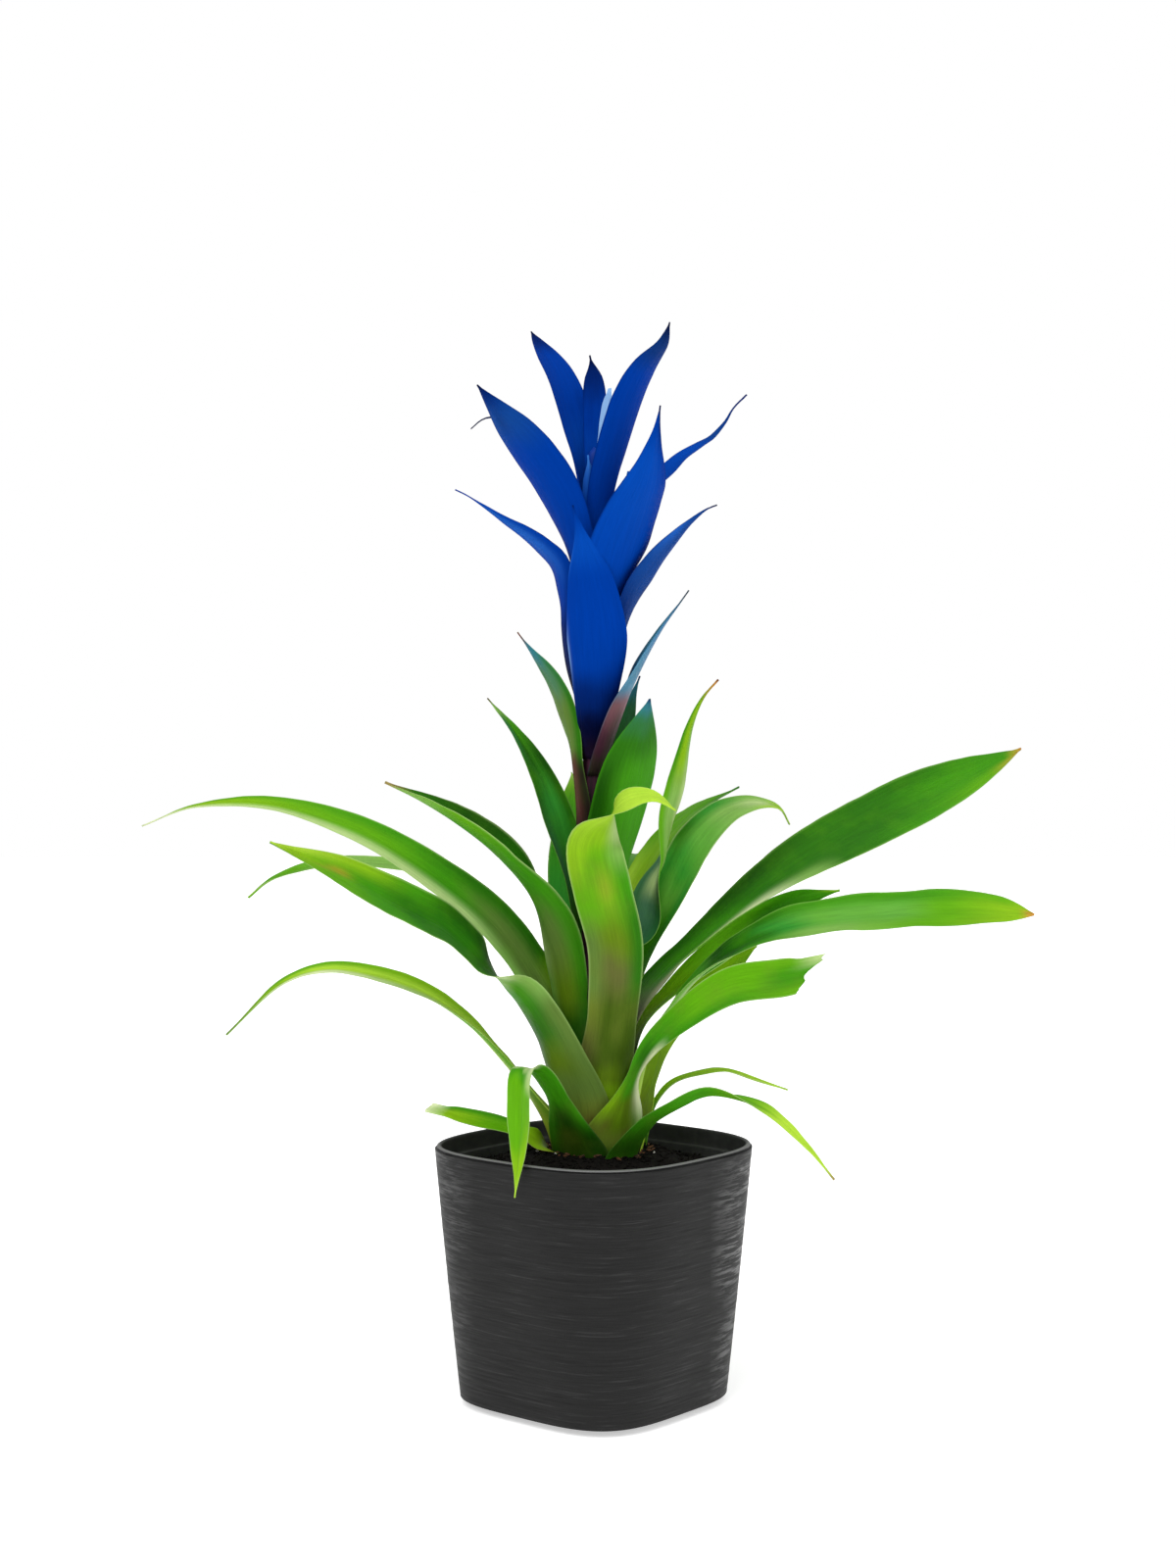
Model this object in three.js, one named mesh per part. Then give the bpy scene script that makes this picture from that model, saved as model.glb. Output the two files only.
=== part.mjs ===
// A potted guzmania, one mesh for each piece: a dark plastic planter, square in plan with very round
// corners, the potting mix in it, the short thick crown that runs up into the flower stem, a rosette
// of strap leaves that clasp the crown with their sheaths, and a spike of blue bracts round small
// pale flowers. Millimetres, +Z up. The origin is the middle of the pot's foot; the viewer stands
// at -Y, so a turn of -90 degrees points at the viewer, 0 to the right and 90 to the back.
import * as THREE from "three";

// Driving sizes
const POT_HEIGHT = 138;
const RIM_HALF = 75; // half the width across the flats, at the rim
const FOOT_HALF = 63; // and at the foot
const RIM_SQUARENESS = 3.0; // exponent of the superellipse: 2 is a circle, more is squarer
const FOOT_SQUARENESS = 3.7;
const POT_TURN = 5; // degrees; at 0 the pot's corners point along X and Y
const WALL = 2.4;
const FLOOR = 4;
const FOOT_ROUND = 3.5;
const LIP_DEPTH = 4; // the smooth lip over the brushed wall
const LIP_PROUD = 0.5;
const INNER_LEDGE = 9; // depth below the rim of the step inside
const INNER_SETBACK = WALL + 0.8; // how far the inside lies in from the outside, below that step

const SOIL_AT_WALL = POT_HEIGHT - 14;
const SOIL_AT_CROWN = POT_HEIGHT - 4;
const SOIL_LUMP = 1.1;
const HOLE_FLARE = 6; // how much the hole for the crown widens at its top
const FIT = 0.35; // clearance between pieces that touch

const CROWN_X = 2; // the plant stands a little right of the pot's middle
const CROWN_FOOT = 112; // the crown's underside, buried in the mix
const CROWN_LOW = 126; // where its rounded foot ends and the leaves begin to clasp it
const CROWN_SHOULDER = 138;
const CROWN_HIGH = 222; // and where it has become the flower stem
const CROWN_RADIUS = 25;
const CROWN_BEVEL = 6;
const SHOULDER_RADIUS = 19;
const STEM_RADIUS = 7.5;
const STEM_LEAN_X = -2.5; // how far left of the pot's middle it leans, before the spike straightens it
const STEM_TOP = 505;
const STEM_TOP_RADIUS = 3.2;
const STEM_TIP = 4; // height of the blunt point above that

const LEAF_THICKNESS = 1.0;
const BRACT_THICKNESS = 0.8;
const TIP_THINNING = 0.8; // a blade's thickness at its tip, as a share of the thickness at its foot
const WIDEST_SHEATH = 1.15; // half a sheath's width, at most, as a share of its radius round the crown
const DEEPEST_FOLD = 1.9; // radians from a blade's midrib to its edge where it wraps, at most
const WAVE_RATE = 0.16; // radians of an edge's waves per millimetre of leaf
const CLASPED_SHARE = 0.4; // of a leaf's hug: up to there its sheath lies wholly round the axis
const LEAST_UPRIGHT = 0.25; // how upright a midrib counts, at least, for its blade's wrap

const POT_SIDES = 40;
const STEM_SIDES = 24;
const ROW_LENGTH = 24; // a blade's mesh has about a row for each of these lengths
const FEWEST_ROWS = 7;
const MOST_ROWS = 14;
const STATIONS = 60; // along a midrib, for its curve

const GREEN = new THREE.MeshStandardMaterial({ color: 0x4f9a22, roughness: 0.45 });
const BLUE = new THREE.MeshStandardMaterial({ color: 0x0a3fa8, roughness: 0.5 });
const TEAL = new THREE.MeshStandardMaterial({ color: 0x2b7a62, roughness: 0.5 });
const PALE_BLUE = new THREE.MeshStandardMaterial({ color: 0x6fb4ee, roughness: 0.5 });
const PURPLE = new THREE.MeshStandardMaterial({ color: 0x4a2233, roughness: 0.6 });
const CHARCOAL = new THREE.MeshStandardMaterial({ color: 0x3a3a3c, roughness: 0.55 });
const PEAT = new THREE.MeshStandardMaterial({ color: 0x2a1d14, roughness: 0.95 });

const radians = THREE.MathUtils.degToRad;
const lerp = THREE.MathUtils.lerp;
const smoothstep = (x, from, to) => THREE.MathUtils.smoothstep(x, from, to);

const plant = new THREE.Group();

function addPiece(name, geometry, material) {
  const mesh = new THREE.Mesh(geometry, material);
  mesh.name = name;
  plant.add(mesh);
}

// How far a superellipse of unit half width reaches at an azimuth, its corners on the pot's corners.
function squircle(azimuth, squareness) {
  const a = azimuth - radians(POT_TURN) + Math.PI / 4;
  const sum = Math.abs(Math.cos(a)) ** squareness + Math.abs(Math.sin(a)) ** squareness;
  return sum ** (-1 / squareness);
}

// Half the pot's outer width across the flats, at a height.
const potHalf = (z) => lerp(FOOT_HALF, RIM_HALF, z / POT_HEIGHT);

// A solid of revolution about Z, from a profile of [radius, height] that starts and ends on the axis.
// reshape then moves each point.
function turned(profile, sides, reshape) {
  const points = profile.map(([r, z]) => new THREE.Vector2(r, z));
  const geometry = new THREE.LatheGeometry(points, sides).rotateX(Math.PI / 2);
  const position = geometry.getAttribute("position");
  const p = new THREE.Vector3();
  for (let i = 0; i < position.count; i++) {
    p.fromBufferAttribute(position, i);
    reshape(p);
    position.setXYZ(i, p.x, p.y, p.z);
  }
  return geometry;
}

// Turns a round ring into the pot's squircle, by the squareness that the pot has at that height.
function toPotPlan(p, share = 1) {
  const squareness = lerp(FOOT_SQUARENESS, RIM_SQUARENESS, THREE.MathUtils.clamp(p.z / POT_HEIGHT, 0, 1));
  const k = lerp(1, squircle(Math.atan2(p.y, p.x), squareness), share);
  p.x *= k;
  p.y *= k;
}

function pot() {
  const lipLow = POT_HEIGHT - LIP_DEPTH;
  const ledge = POT_HEIGHT - INNER_LEDGE;
  const profile = [
    [0, 0],
    [FOOT_HALF - FOOT_ROUND, 0],
    [potHalf(1) - 1, 1],
    [potHalf(FOOT_ROUND), FOOT_ROUND],
    [potHalf(lipLow / 2), lipLow / 2],
    [potHalf(lipLow), lipLow],
    [potHalf(lipLow) + LIP_PROUD, lipLow + 0.6],
    [RIM_HALF + LIP_PROUD, POT_HEIGHT - 0.8],
    [RIM_HALF - WALL / 2, POT_HEIGHT],
    [RIM_HALF - WALL, POT_HEIGHT - 0.8],
    [potHalf(ledge) - WALL, ledge],
    [potHalf(ledge) - INNER_SETBACK, ledge - 1],
    [potHalf(FLOOR + 2) - INNER_SETBACK, FLOOR + 2],
    [FOOT_HALF - INNER_SETBACK - 2, FLOOR],
    [0, FLOOR],
  ];
  addPiece("pot", turned(profile, POT_SIDES, toPotPlan), CHARCOAL);
}

// The mix fills the pot, rises towards the plant and is uneven on top. The crown stands in a hole in it
// that widens upwards, for the sheaths that lean out.
function pottingMix() {
  const inside = (z) => potHalf(z) - INNER_SETBACK - 3 * FIT;
  const hole = CROWN_RADIUS + 2 * FIT;
  const wallRadius = inside(SOIL_AT_WALL);
  const slope = [0.85, 0.6, 0.35, 0.12].map((share) => [
    lerp(hole + HOLE_FLARE, wallRadius, share),
    lerp(SOIL_AT_CROWN, SOIL_AT_WALL, smoothstep(share, 0, 1)),
  ]);
  const profile = [
    [0, FLOOR + FIT],
    [inside(FLOOR + 3) - 3, FLOOR + FIT],
    [inside(FLOOR + 3), FLOOR + 3],
    [wallRadius, SOIL_AT_WALL - 2],
    [wallRadius - 1.5, SOIL_AT_WALL],
    ...slope,
    [hole + HOLE_FLARE, SOIL_AT_CROWN],
    [hole, CROWN_LOW - 2],
    [hole, CROWN_FOOT - FIT],
    [0, CROWN_FOOT - FIT],
  ];
  const geometry = turned(profile, POT_SIDES, (p) => {
    const r = Math.hypot(p.x, p.y);
    const nearWall = smoothstep(r, hole + HOLE_FLARE, wallRadius - 4);
    const azimuth = Math.atan2(p.y, p.x);
    const lump = Math.sin(azimuth * 5 + r * 0.5) * Math.cos(azimuth * 3 - r * 0.3);
    const onTop = smoothstep(p.z, SOIL_AT_WALL, SOIL_AT_WALL + 1) * smoothstep(r, hole, hole + 2);
    p.z += SOIL_LUMP * lump * onTop;
    toPotPlan(p, nearWall);
    p.x += CROWN_X * (1 - nearWall);
  });
  addPiece("potting_mix", geometry, PEAT);
}

// The middle of the crown and stem at a height: it leans left out of the rosette and straightens.
function stemX(z) {
  const leaning = lerp(CROWN_X, STEM_LEAN_X, smoothstep(z, 215, 310));
  return leaning - STEM_LEAN_X * smoothstep(z, 310, 350);
}

function crownRadius(z) {
  if (z < CROWN_LOW) return CROWN_RADIUS;
  if (z < CROWN_SHOULDER) {
    return lerp(CROWN_RADIUS, SHOULDER_RADIUS, (z - CROWN_LOW) / (CROWN_SHOULDER - CROWN_LOW));
  }
  if (z < CROWN_HIGH) {
    return lerp(SHOULDER_RADIUS, STEM_RADIUS, (z - CROWN_SHOULDER) / (CROWN_HIGH - CROWN_SHOULDER));
  }
  return lerp(STEM_RADIUS, STEM_TOP_RADIUS, (z - CROWN_HIGH) / (STEM_TOP - CROWN_HIGH));
}

function crownAndStem() {
  const heights = [CROWN_LOW, CROWN_SHOULDER, CROWN_HIGH, 240, 265, 290, 315, 345, 400, 440, 475, STEM_TOP];
  const profile = [
    [0, CROWN_FOOT],
    [CROWN_RADIUS - CROWN_BEVEL, CROWN_FOOT],
    [CROWN_RADIUS, CROWN_FOOT + CROWN_BEVEL],
    ...heights.map((z) => [crownRadius(z), z]),
    [0, STEM_TOP + STEM_TIP],
  ];
  const geometry = turned(profile, STEM_SIDES, (p) => {
    p.x += stemX(p.z);
  });
  addPiece("crown_and_stem", geometry, PURPLE);
}

// The midrib's line and, at each station along it, the blade's own directions: along, side and inner
// (the face that looks at the plant's axis, and up when the leaf lies out level). The directions are
// carried along the line without turning about it, and then rolled by the leaf's own roll.
function midrib(leaf) {
  const turn = radians(leaf.turn);
  const out = new THREE.Vector3(Math.cos(turn), Math.sin(turn), 0);
  const across = new THREE.Vector3(-Math.sin(turn), Math.cos(turn), 0);
  const points = [leaf.start, ...leaf.path].map(([reach, height, drift = 0]) =>
    new THREE.Vector3(leaf.axisX, 0, height).addScaledVector(out, reach).addScaledVector(across, drift),
  );
  const curve = new THREE.CatmullRomCurve3(points, false, "centripetal");
  const length = curve.getLength();
  const side = across.clone();
  const stations = [];
  for (let i = 0; i <= STATIONS; i++) {
    const s = i / STATIONS;
    const along = curve.getTangentAt(s);
    side.addScaledVector(along, -side.dot(along)).normalize();
    const inner = along.clone().cross(side);
    const roll = radians(leaf.roll) * smoothstep(s, leaf.rollFrom, leaf.rollTo);
    stations.push({
      point: curve.getPointAt(s),
      along,
      side: side.clone().multiplyScalar(Math.cos(roll)).addScaledVector(inner, Math.sin(roll)),
      inner: inner.clone().multiplyScalar(Math.cos(roll)).addScaledVector(side, -Math.sin(roll)),
    });
  }
  return { length, stations };
}

// Half the blade's width: a wide sheath at the foot, a waist, the widest place and the tapering tip.
function halfWidth(leaf, s) {
  const blade = leaf.wide / 2;
  const sheath = (leaf.clasp - blade * leaf.waist) * (1 - smoothstep(s, 0, leaf.sheathEnd));
  if (s < leaf.widest) return sheath + blade * lerp(leaf.waist, 1, smoothstep(s, 0, leaf.widest));
  const toTip = (s - leaf.widest) / (1 - leaf.widest);
  return sheath + Math.max(blade * (1 - toTip ** leaf.taper), leaf.tip);
}

// The middle surface of a leaf: s runs from foot to tip and t from edge to edge, -1 to 1. Near the foot
// it lies on a surface turned about the plant's axis, so that sheaths nest; further out it is a trough.
function leafSurface(leaf) {
  const { length, stations } = midrib(leaf);
  const surface = (s, t) => {
    const at = THREE.MathUtils.clamp(s, 0, 1) * STATIONS;
    const i = Math.min(Math.floor(at), STATIONS - 1);
    const [a, b] = [stations[i], stations[i + 1]];
    const mid = (key) => a[key].clone().lerp(b[key], at - i);
    const point = mid("point");
    const along = mid("along").normalize();
    const half = halfWidth(leaf, s);
    const reach = Math.hypot(point.x - leaf.axisX, point.y);
    const hugging = 1 - smoothstep(s, leaf.hug * CLASPED_SHARE, leaf.hug);
    const aroundAxis = (half * Math.max(Math.abs(along.z), LEAST_UPRIGHT)) / Math.max(reach, 1);
    const trough = radians(lerp(leaf.trough, leaf.troughTip, s));
    const fold = Math.max(lerp(trough, Math.min(aroundAxis, DEEPEST_FOLD), hugging), 0.02);
    const ripple = Math.sin(s * length * WAVE_RATE + t * 2) * t * t;
    const wave = leaf.wave * ripple * smoothstep(s, 0.3, 0.5);
    const shift = leaf.skew * half * smoothstep(s, 0.7, 1);
    const free = point
      .clone()
      .addScaledVector(mid("side").normalize(), (half / fold) * Math.sin(fold * t) + shift)
      .addScaledVector(mid("inner").normalize(), (half / fold) * (1 - Math.cos(fold * t)) + wave);
    const azimuth = Math.atan2(point.y, point.x - leaf.axisX) + (half * t) / Math.max(reach, 1);
    const round = new THREE.Vector3(
      leaf.axisX + reach * Math.cos(azimuth),
      reach * Math.sin(azimuth),
      point.z,
    );
    return free.lerp(round, hugging);
  };
  return { length, surface };
}

// A closed blade from a middle surface: a grid on each face, split into triangles alike on both, and
// walls round its edge.
function bladeGeometry(surface, rows, columns, thickness) {
  const step = 1e-3;
  const vertices = [];
  const index = [];
  const perFace = (rows + 1) * (columns + 1);
  for (const face of [1, -1]) {
    for (let i = 0; i <= rows; i++) {
      for (let j = 0; j <= columns; j++) {
        const [s, t] = [i / rows, (2 * j) / columns - 1];
        const point = surface(s, t);
        const lengthways = surface(Math.min(s + step, 1), t).sub(surface(Math.max(s - step, 0), t));
        const crossways = surface(s, t + step).sub(surface(s, t - step));
        const normal = lengthways.cross(crossways).normalize();
        point.addScaledVector(normal, (face * lerp(1, TIP_THINNING, s) * thickness) / 2);
        vertices.push(point.x, point.y, point.z);
      }
    }
  }
  const at = (face, i, j) => face * perFace + i * (columns + 1) + j;
  const quad = (a, b, c, d) => index.push(a, b, c, a, c, d);
  for (let i = 0; i < rows; i++) {
    for (let j = 0; j < columns; j++) {
      quad(at(0, i, j), at(0, i + 1, j), at(0, i + 1, j + 1), at(0, i, j + 1));
      const [a, b, c, d] = [at(1, i, j), at(1, i + 1, j), at(1, i + 1, j + 1), at(1, i, j + 1)];
      index.push(a, c, b, a, d, c);
    }
    quad(at(0, i, 0), at(1, i, 0), at(1, i + 1, 0), at(0, i + 1, 0));
    quad(at(0, i + 1, columns), at(1, i + 1, columns), at(1, i, columns), at(0, i, columns));
  }
  for (let j = 0; j < columns; j++) {
    quad(at(0, 0, j + 1), at(1, 0, j + 1), at(1, 0, j), at(0, 0, j));
    quad(at(0, rows, j), at(1, rows, j), at(1, rows, j + 1), at(0, rows, j + 1));
  }
  const geometry = new THREE.BufferGeometry();
  geometry.setAttribute("position", new THREE.Float32BufferAttribute(vertices, 3));
  geometry.setIndex(index);
  geometry.computeVertexNormals();
  return geometry;
}

// What most rosette leaves share; widths and the clasping sheath's half width are in millimetres,
// roll and trough in degrees, and rollFrom, rollTo, widest, sheathEnd and hug are shares of the leaf's
// length. waist is the width above the sheath as a share of wide, a higher taper is a blunter tip, and
// skew carries the tip towards one edge.
const LEAF_HABIT = {
  wide: 30, clasp: 28, waist: 0.75, widest: 0.55, taper: 1.9, tip: 0.5, sheathEnd: 0.3, hug: 0.26,
  trough: 38, troughTip: 14, roll: 0, rollFrom: 0.25, rollTo: 0.6, wave: 0, skew: 0,
};

// From the outside in, roughly: the higher its foot, the further in a leaf clasps the crown, and leaves
// with the same foot height clasp different sides. A path gives the midrib past its foot: [reach from
// the crown's axis, height, sideways drift], in the upright plane that the leaf's turn gives.
const ROSETTE = [
  { name: "leaf_low_left", foot: 127, turn: -165, wide: 10, clasp: 10, taper: 3.2, tip: 2.5, trough: 30,
    roll: -30,
    path: [[27, 134], [47, 147], [70, 153], [94, 160]] },
  { name: "leaf_low_right", foot: 127, turn: -62, wide: 12, clasp: 10, trough: 30, roll: 25,
    path: [[28, 136], [44, 155, 4], [57, 165, 12], [71, 173, 27], [91, 165, 44], [108, 145, 62],
      [117, 131, 71]] },
  { name: "leaf_low_back", foot: 127, turn: 96, wide: 16, clasp: 16,
    path: [[28, 138], [66, 172], [100, 180], [135, 168]] },
  { name: "leaf_low_right_thin", foot: 127, turn: 30, wide: 7, clasp: 9, trough: 30, roll: 20,
    path: [[27, 137], [35, 155], [46, 166], [62, 170], [81, 171], [101, 165], [123, 157]] },
  { name: "leaf_folded_front", foot: 129.5, turn: -120, wide: 17, clasp: 27, widest: 0.6, trough: 42,
    roll: 20,
    path: [[27, 141], [39, 162], [56, 181], [70, 188], [80, 187], [86, 177], [86, 153], [83, 122]] },
  { name: "leaf_left_arch", foot: 132, turn: -174, wide: 13, clasp: 26, widest: 0.35, taper: 1.3, roll: -30,
    path: [[26, 150], [42, 178], [57, 196], [72, 210], [94, 224], [120, 232], [145, 234], [168, 226],
      [199, 198]] },
  { name: "leaf_right_narrow", foot: 132, turn: 35, wide: 12, clasp: 22, taper: 1.5, roll: 20,
    path: [[28, 150], [36, 168], [43, 187], [54, 201], [68, 211], [90, 222]] },
  { name: "leaf_right_torn", foot: 134.5, turn: -52, wide: 26, clasp: 25, widest: 0.75, taper: 3, tip: 3,
    skew: 1, roll: 55,
    path: [[23.5, 150], [31, 171], [42, 193, 2], [60, 213, 8], [86, 229, 18], [112, 232, 30],
      [134, 237, 40]] },
  { name: "leaf_back_left_arch", foot: 147, turn: 150, wide: 15, clasp: 16, taper: 1.5, roll: -25,
    path: [[21, 175], [36, 212], [57, 240], [83, 260], [109, 273], [135, 279], [169, 281], [204, 274],
      [236, 261]] },
  { name: "leaf_left_broad", foot: 138, turn: -140, wide: 34, clasp: 24, widest: 0.65, roll: -55,
    rollFrom: 0.3, rollTo: 0.5,
    path: [[22, 160], [37, 195, -4], [59, 222, -10], [83, 243, -15], [110, 262, -20], [144, 282, -28],
      [182, 302, -36]] },
  { name: "leaf_right_level", foot: 138, turn: -8, wide: 28, clasp: 24, widest: 0.7, roll: 45, wave: 0.6,
    path: [[22, 162], [28, 189], [48, 218], [73, 239], [99, 253], [125, 260], [176, 263], [229, 263]] },
  { name: "leaf_front_curl", foot: 147, turn: -88, wide: 31, clasp: 21, widest: 0.5, waist: 0.75,
    taper: 1.7, roll: 120, rollFrom: 0.7, rollTo: 0.92, trough: 30,
    path: [[21, 176, 3], [27, 212, 7], [32, 245, 8], [38, 276, 1], [42, 300, -3], [46, 314, 6],
      [49, 322, 24], [50, 316, 42]] },
  { name: "leaf_left_long", foot: 156, turn: 172, wide: 24, clasp: 20, widest: 0.35, taper: 1.4, roll: -40,
    path: [[20, 190], [36, 228], [58, 258], [91, 284], [128, 304], [178, 318], [222, 317], [252, 306]] },
  { name: "leaf_right_short", foot: 156, turn: 25, wide: 18, clasp: 19, roll: 40,
    path: [[19, 180], [25, 198], [50, 222], [75, 241], [100, 257], [125, 266], [147, 269]] },
  { name: "leaf_left_channel", foot: 165, turn: -162, wide: 30, clasp: 18, widest: 0.45, taper: 1.5,
    roll: -35,
    path: [[18, 200], [25, 240], [38, 270], [56, 293], [77, 311], [95, 323], [116, 331]] },
  { name: "leaf_right_long", foot: 165, turn: 28, wide: 40, clasp: 18, widest: 0.62, roll: 38,
    path: [[18, 192], [25, 215], [43, 236], [77, 262], [129, 290], [182, 309], [237, 331], [283, 348]] },
  { name: "leaf_right_hook", foot: 174, turn: 18, wide: 24, clasp: 16, widest: 0.5, taper: 1.5, roll: 35,
    path: [[16, 200], [23, 230], [33, 258], [44, 281], [56, 299], [74, 314], [92, 319], [105, 315],
      [110, 307]] },
  { name: "leaf_back", foot: 183, turn: 78, wide: 26, clasp: 13,
    path: [[14.5, 202], [21, 230], [42, 262], [80, 284], [120, 286], [160, 270]] },
  { name: "leaf_back_left", foot: 192, turn: 97, wide: 24, clasp: 12,
    path: [[13, 210], [23, 248], [36, 280], [54, 310], [78, 328], [104, 334]] },
  { name: "leaf_back_right", foot: 201, turn: 58, wide: 20, clasp: 12,
    path: [[12, 225], [18, 248], [28, 267], [51, 290], [80, 305], [115, 317], [152, 324]] },
  { name: "leaf_left_upright", foot: 210, turn: 142, wide: 30, clasp: 10, widest: 0.5, taper: 1.4,
    roll: -20,
    path: [[11, 235], [20, 277], [32, 308], [44, 333], [60, 356], [81, 376]] },
  { name: "leaf_right_upright", foot: 219, turn: 42, wide: 15, clasp: 9, widest: 0.65, taper: 1.4, roll: 60,
    path: [[10.5, 240], [18, 262], [31, 286], [43, 309], [52, 335], [66, 361], [77, 376], [90, 386]] },
];

// What the bracts share: short, broad and boat shaped, and wrapped round the stem for half their length.
const BRACT_HABIT = {
  ...LEAF_HABIT,
  clasp: 9, wide: 24, waist: 0.9, widest: 0.5, taper: 2.0, sheathEnd: 0.4, hug: 0.5,
  trough: 48, troughTip: 20,
};

// The leaves on the stem, the bracts and the petals between them. foot is the height where each
// leaves the stem.
const SPIKE = [
  { name: "stem_leaf_right", foot: 252, turn: -60, wide: 34, clasp: 14, widest: 0.55, taper: 2.2,
    path: [[13, 270], [21, 297], [32, 322], [43, 346], [56, 374]] },
  { name: "stem_leaf_back", foot: 288, turn: 50, wide: 17, clasp: 8,
    path: [[8.4, 304], [14, 330], [28, 361], [42, 388]] },
  { name: "stem_leaf_left", foot: 300, turn: 170, wide: 18, clasp: 9, taper: 1.5, roll: -30,
    path: [[6.8, 313], [9, 336], [14, 358], [25, 382], [41, 410]] },
  { name: "stem_leaf_teal", foot: 334, turn: 0, wide: 13, clasp: 12, widest: 0.2, taper: 1.5, roll: 20,
    path: [[9, 345], [15, 364], [24, 387], [37, 411], [52, 432]] },
  { name: "bract_front", foot: 343, turn: -93, wide: 38, clasp: 12, widest: 0.5, taper: 1.9, trough: 62,
    hug: 0.6,
    path: [[9, 356, 2], [14, 382, 2], [18, 405, 1], [19.5, 427, -1], [22, 443, -3], [27, 464, -7],
      [30, 477, -11]] },
  { name: "bract_back_low", foot: 350, turn: 98, wide: 23, clasp: 9, hug: 0.6,
    path: [[10, 366], [15.5, 388], [19.5, 410], [22, 430], [30, 447], [46, 462]] },
  { name: "bract_left_low", foot: 357, turn: 178, wide: 34, clasp: 11, widest: 0.35, taper: 0.8, roll: 25,
    path: [[9, 372], [14, 392], [16.2, 412], [18, 431], [24, 451], [35, 464], [50, 476], [66, 485],
      [76, 486]] },
  { name: "bract_right_low", foot: 370, turn: 5, wide: 30, clasp: 10, widest: 0.35, taper: 0.9, roll: -20,
    path: [[8, 386], [12, 402], [15, 418], [19, 434], [27, 448], [39, 461], [50, 471], [65, 480]] },
  { name: "bract_back_right", foot: 382, turn: 62, wide: 22,
    path: [[8, 400], [12, 426], [18, 450], [29, 476], [40, 500]] },
  { name: "bract_right", foot: 392, turn: -50, wide: 32, clasp: 10, widest: 0.6, taper: 1.9,
    path: [[8.2, 408], [11.2, 428], [15.8, 445], [22, 459], [33, 475], [41, 486], [48, 504], [53, 525]] },
  { name: "bract_left", foot: 401, turn: -140, wide: 28, clasp: 9, widest: 0.55, taper: 1.9, roll: 20,
    path: [[7.4, 416], [10, 436], [14.5, 456], [21, 473], [30, 488], [44, 503], [60, 518], [78, 534]] },
  { name: "bract_back_left", foot: 409, turn: 112, wide: 20, clasp: 8,
    path: [[6.3, 422], [8, 437], [12, 456], [18, 474], [28, 492]] },
  { name: "bract_left_small", foot: 430, turn: 148, wide: 9, clasp: 5.5, taper: 1.4,
    path: [[5.9, 444], [9, 460], [18, 480], [35, 503], [50, 519], [65, 526], [72, 525], [78, 521]] },
  { name: "bract_right_curly", foot: 426, turn: 20, wide: 13, clasp: 6, widest: 0.4, taper: 1.1,
    path: [[6.2, 442], [12, 464], [27, 486], [41, 499], [56, 510], [68, 517], [74, 525], [79, 533],
      [85, 538]] },
  { name: "bract_top_right", foot: 442, turn: -45, wide: 20, clasp: 7, widest: 0.6,
    path: [[7, 458], [10, 482], [13.5, 503], [20, 522], [27, 535], [36, 547], [49, 558], [54.5, 569]] },
  { name: "bract_top_back", foot: 450, turn: 60, wide: 16, clasp: 8,
    path: [[7, 466], [10, 490], [15, 512], [22, 530]] },
  { name: "bract_top_left", foot: 458, turn: 130, wide: 20, clasp: 6.5, widest: 0.6,
    path: [[6.5, 474], [8.8, 492], [12, 507], [18, 524], [28, 546], [41, 563], [53.5, 577]] },
  { name: "bract_top_middle", foot: 468, turn: 88, wide: 13, clasp: 6, hug: 0.7, widest: 0.7,
    path: [[5.5, 484], [8, 508], [12, 532], [17, 550], [22, 562]] },
  { name: "petals_low", foot: 455, turn: -91, wide: 8, clasp: 4, hug: 0.7,
    path: [[5.5, 468], [6.5, 482], [8, 494], [11, 503]] },
  { name: "petals_high", foot: 476, turn: -20, wide: 7, clasp: 3, hug: 0.7,
    path: [[4.7, 492], [6.5, 510], [9.5, 526], [12, 541]] },
];

function addLeaf(leaf, thickness, material) {
  const { length, surface } = leafSurface(leaf);
  const rows = THREE.MathUtils.clamp(Math.round(length / ROW_LENGTH) + 3, FEWEST_ROWS, MOST_ROWS);
  const columns = leaf.wide > 10 || leaf.clasp > 6 ? 6 : 4;
  addPiece(leaf.name, bladeGeometry(surface, rows, columns, thickness), material);
}

function rosette() {
  for (const own of ROSETTE) {
    const start = [crownRadius(own.foot) + LEAF_THICKNESS / 2 + FIT, own.foot];
    const leaf = { ...LEAF_HABIT, ...own, start, axisX: CROWN_X };
    leaf.clasp = Math.min(leaf.clasp, start[0] * WIDEST_SHEATH);
    addLeaf(leaf, LEAF_THICKNESS, GREEN);
  }
}

function spike() {
  for (const own of SPIKE) {
    const start = [crownRadius(own.foot) + BRACT_THICKNESS / 2 + FIT, own.foot];
    const leaf = { ...BRACT_HABIT, ...own, start, axisX: stemX(own.foot) };
    const colour = { stem: TEAL, petals: PALE_BLUE }[own.name.split("_")[0]] ?? BLUE;
    addLeaf(leaf, BRACT_THICKNESS, colour);
  }
}

pot();
pottingMix();
crownAndStem();
rosette();
spike();

export default plant;
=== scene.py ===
"""A potted guzmania: a rosette of strap leaves, a spike of blue bracts with pale petals among them, the
potting mix and a brushed charcoal planter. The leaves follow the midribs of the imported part's solids,
with finer blades. Lengths are in millimetres until a mesh is finished."""
import math
import random

import bmesh
import bpy
from mathutils import Color, Matrix, Vector, noise


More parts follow.
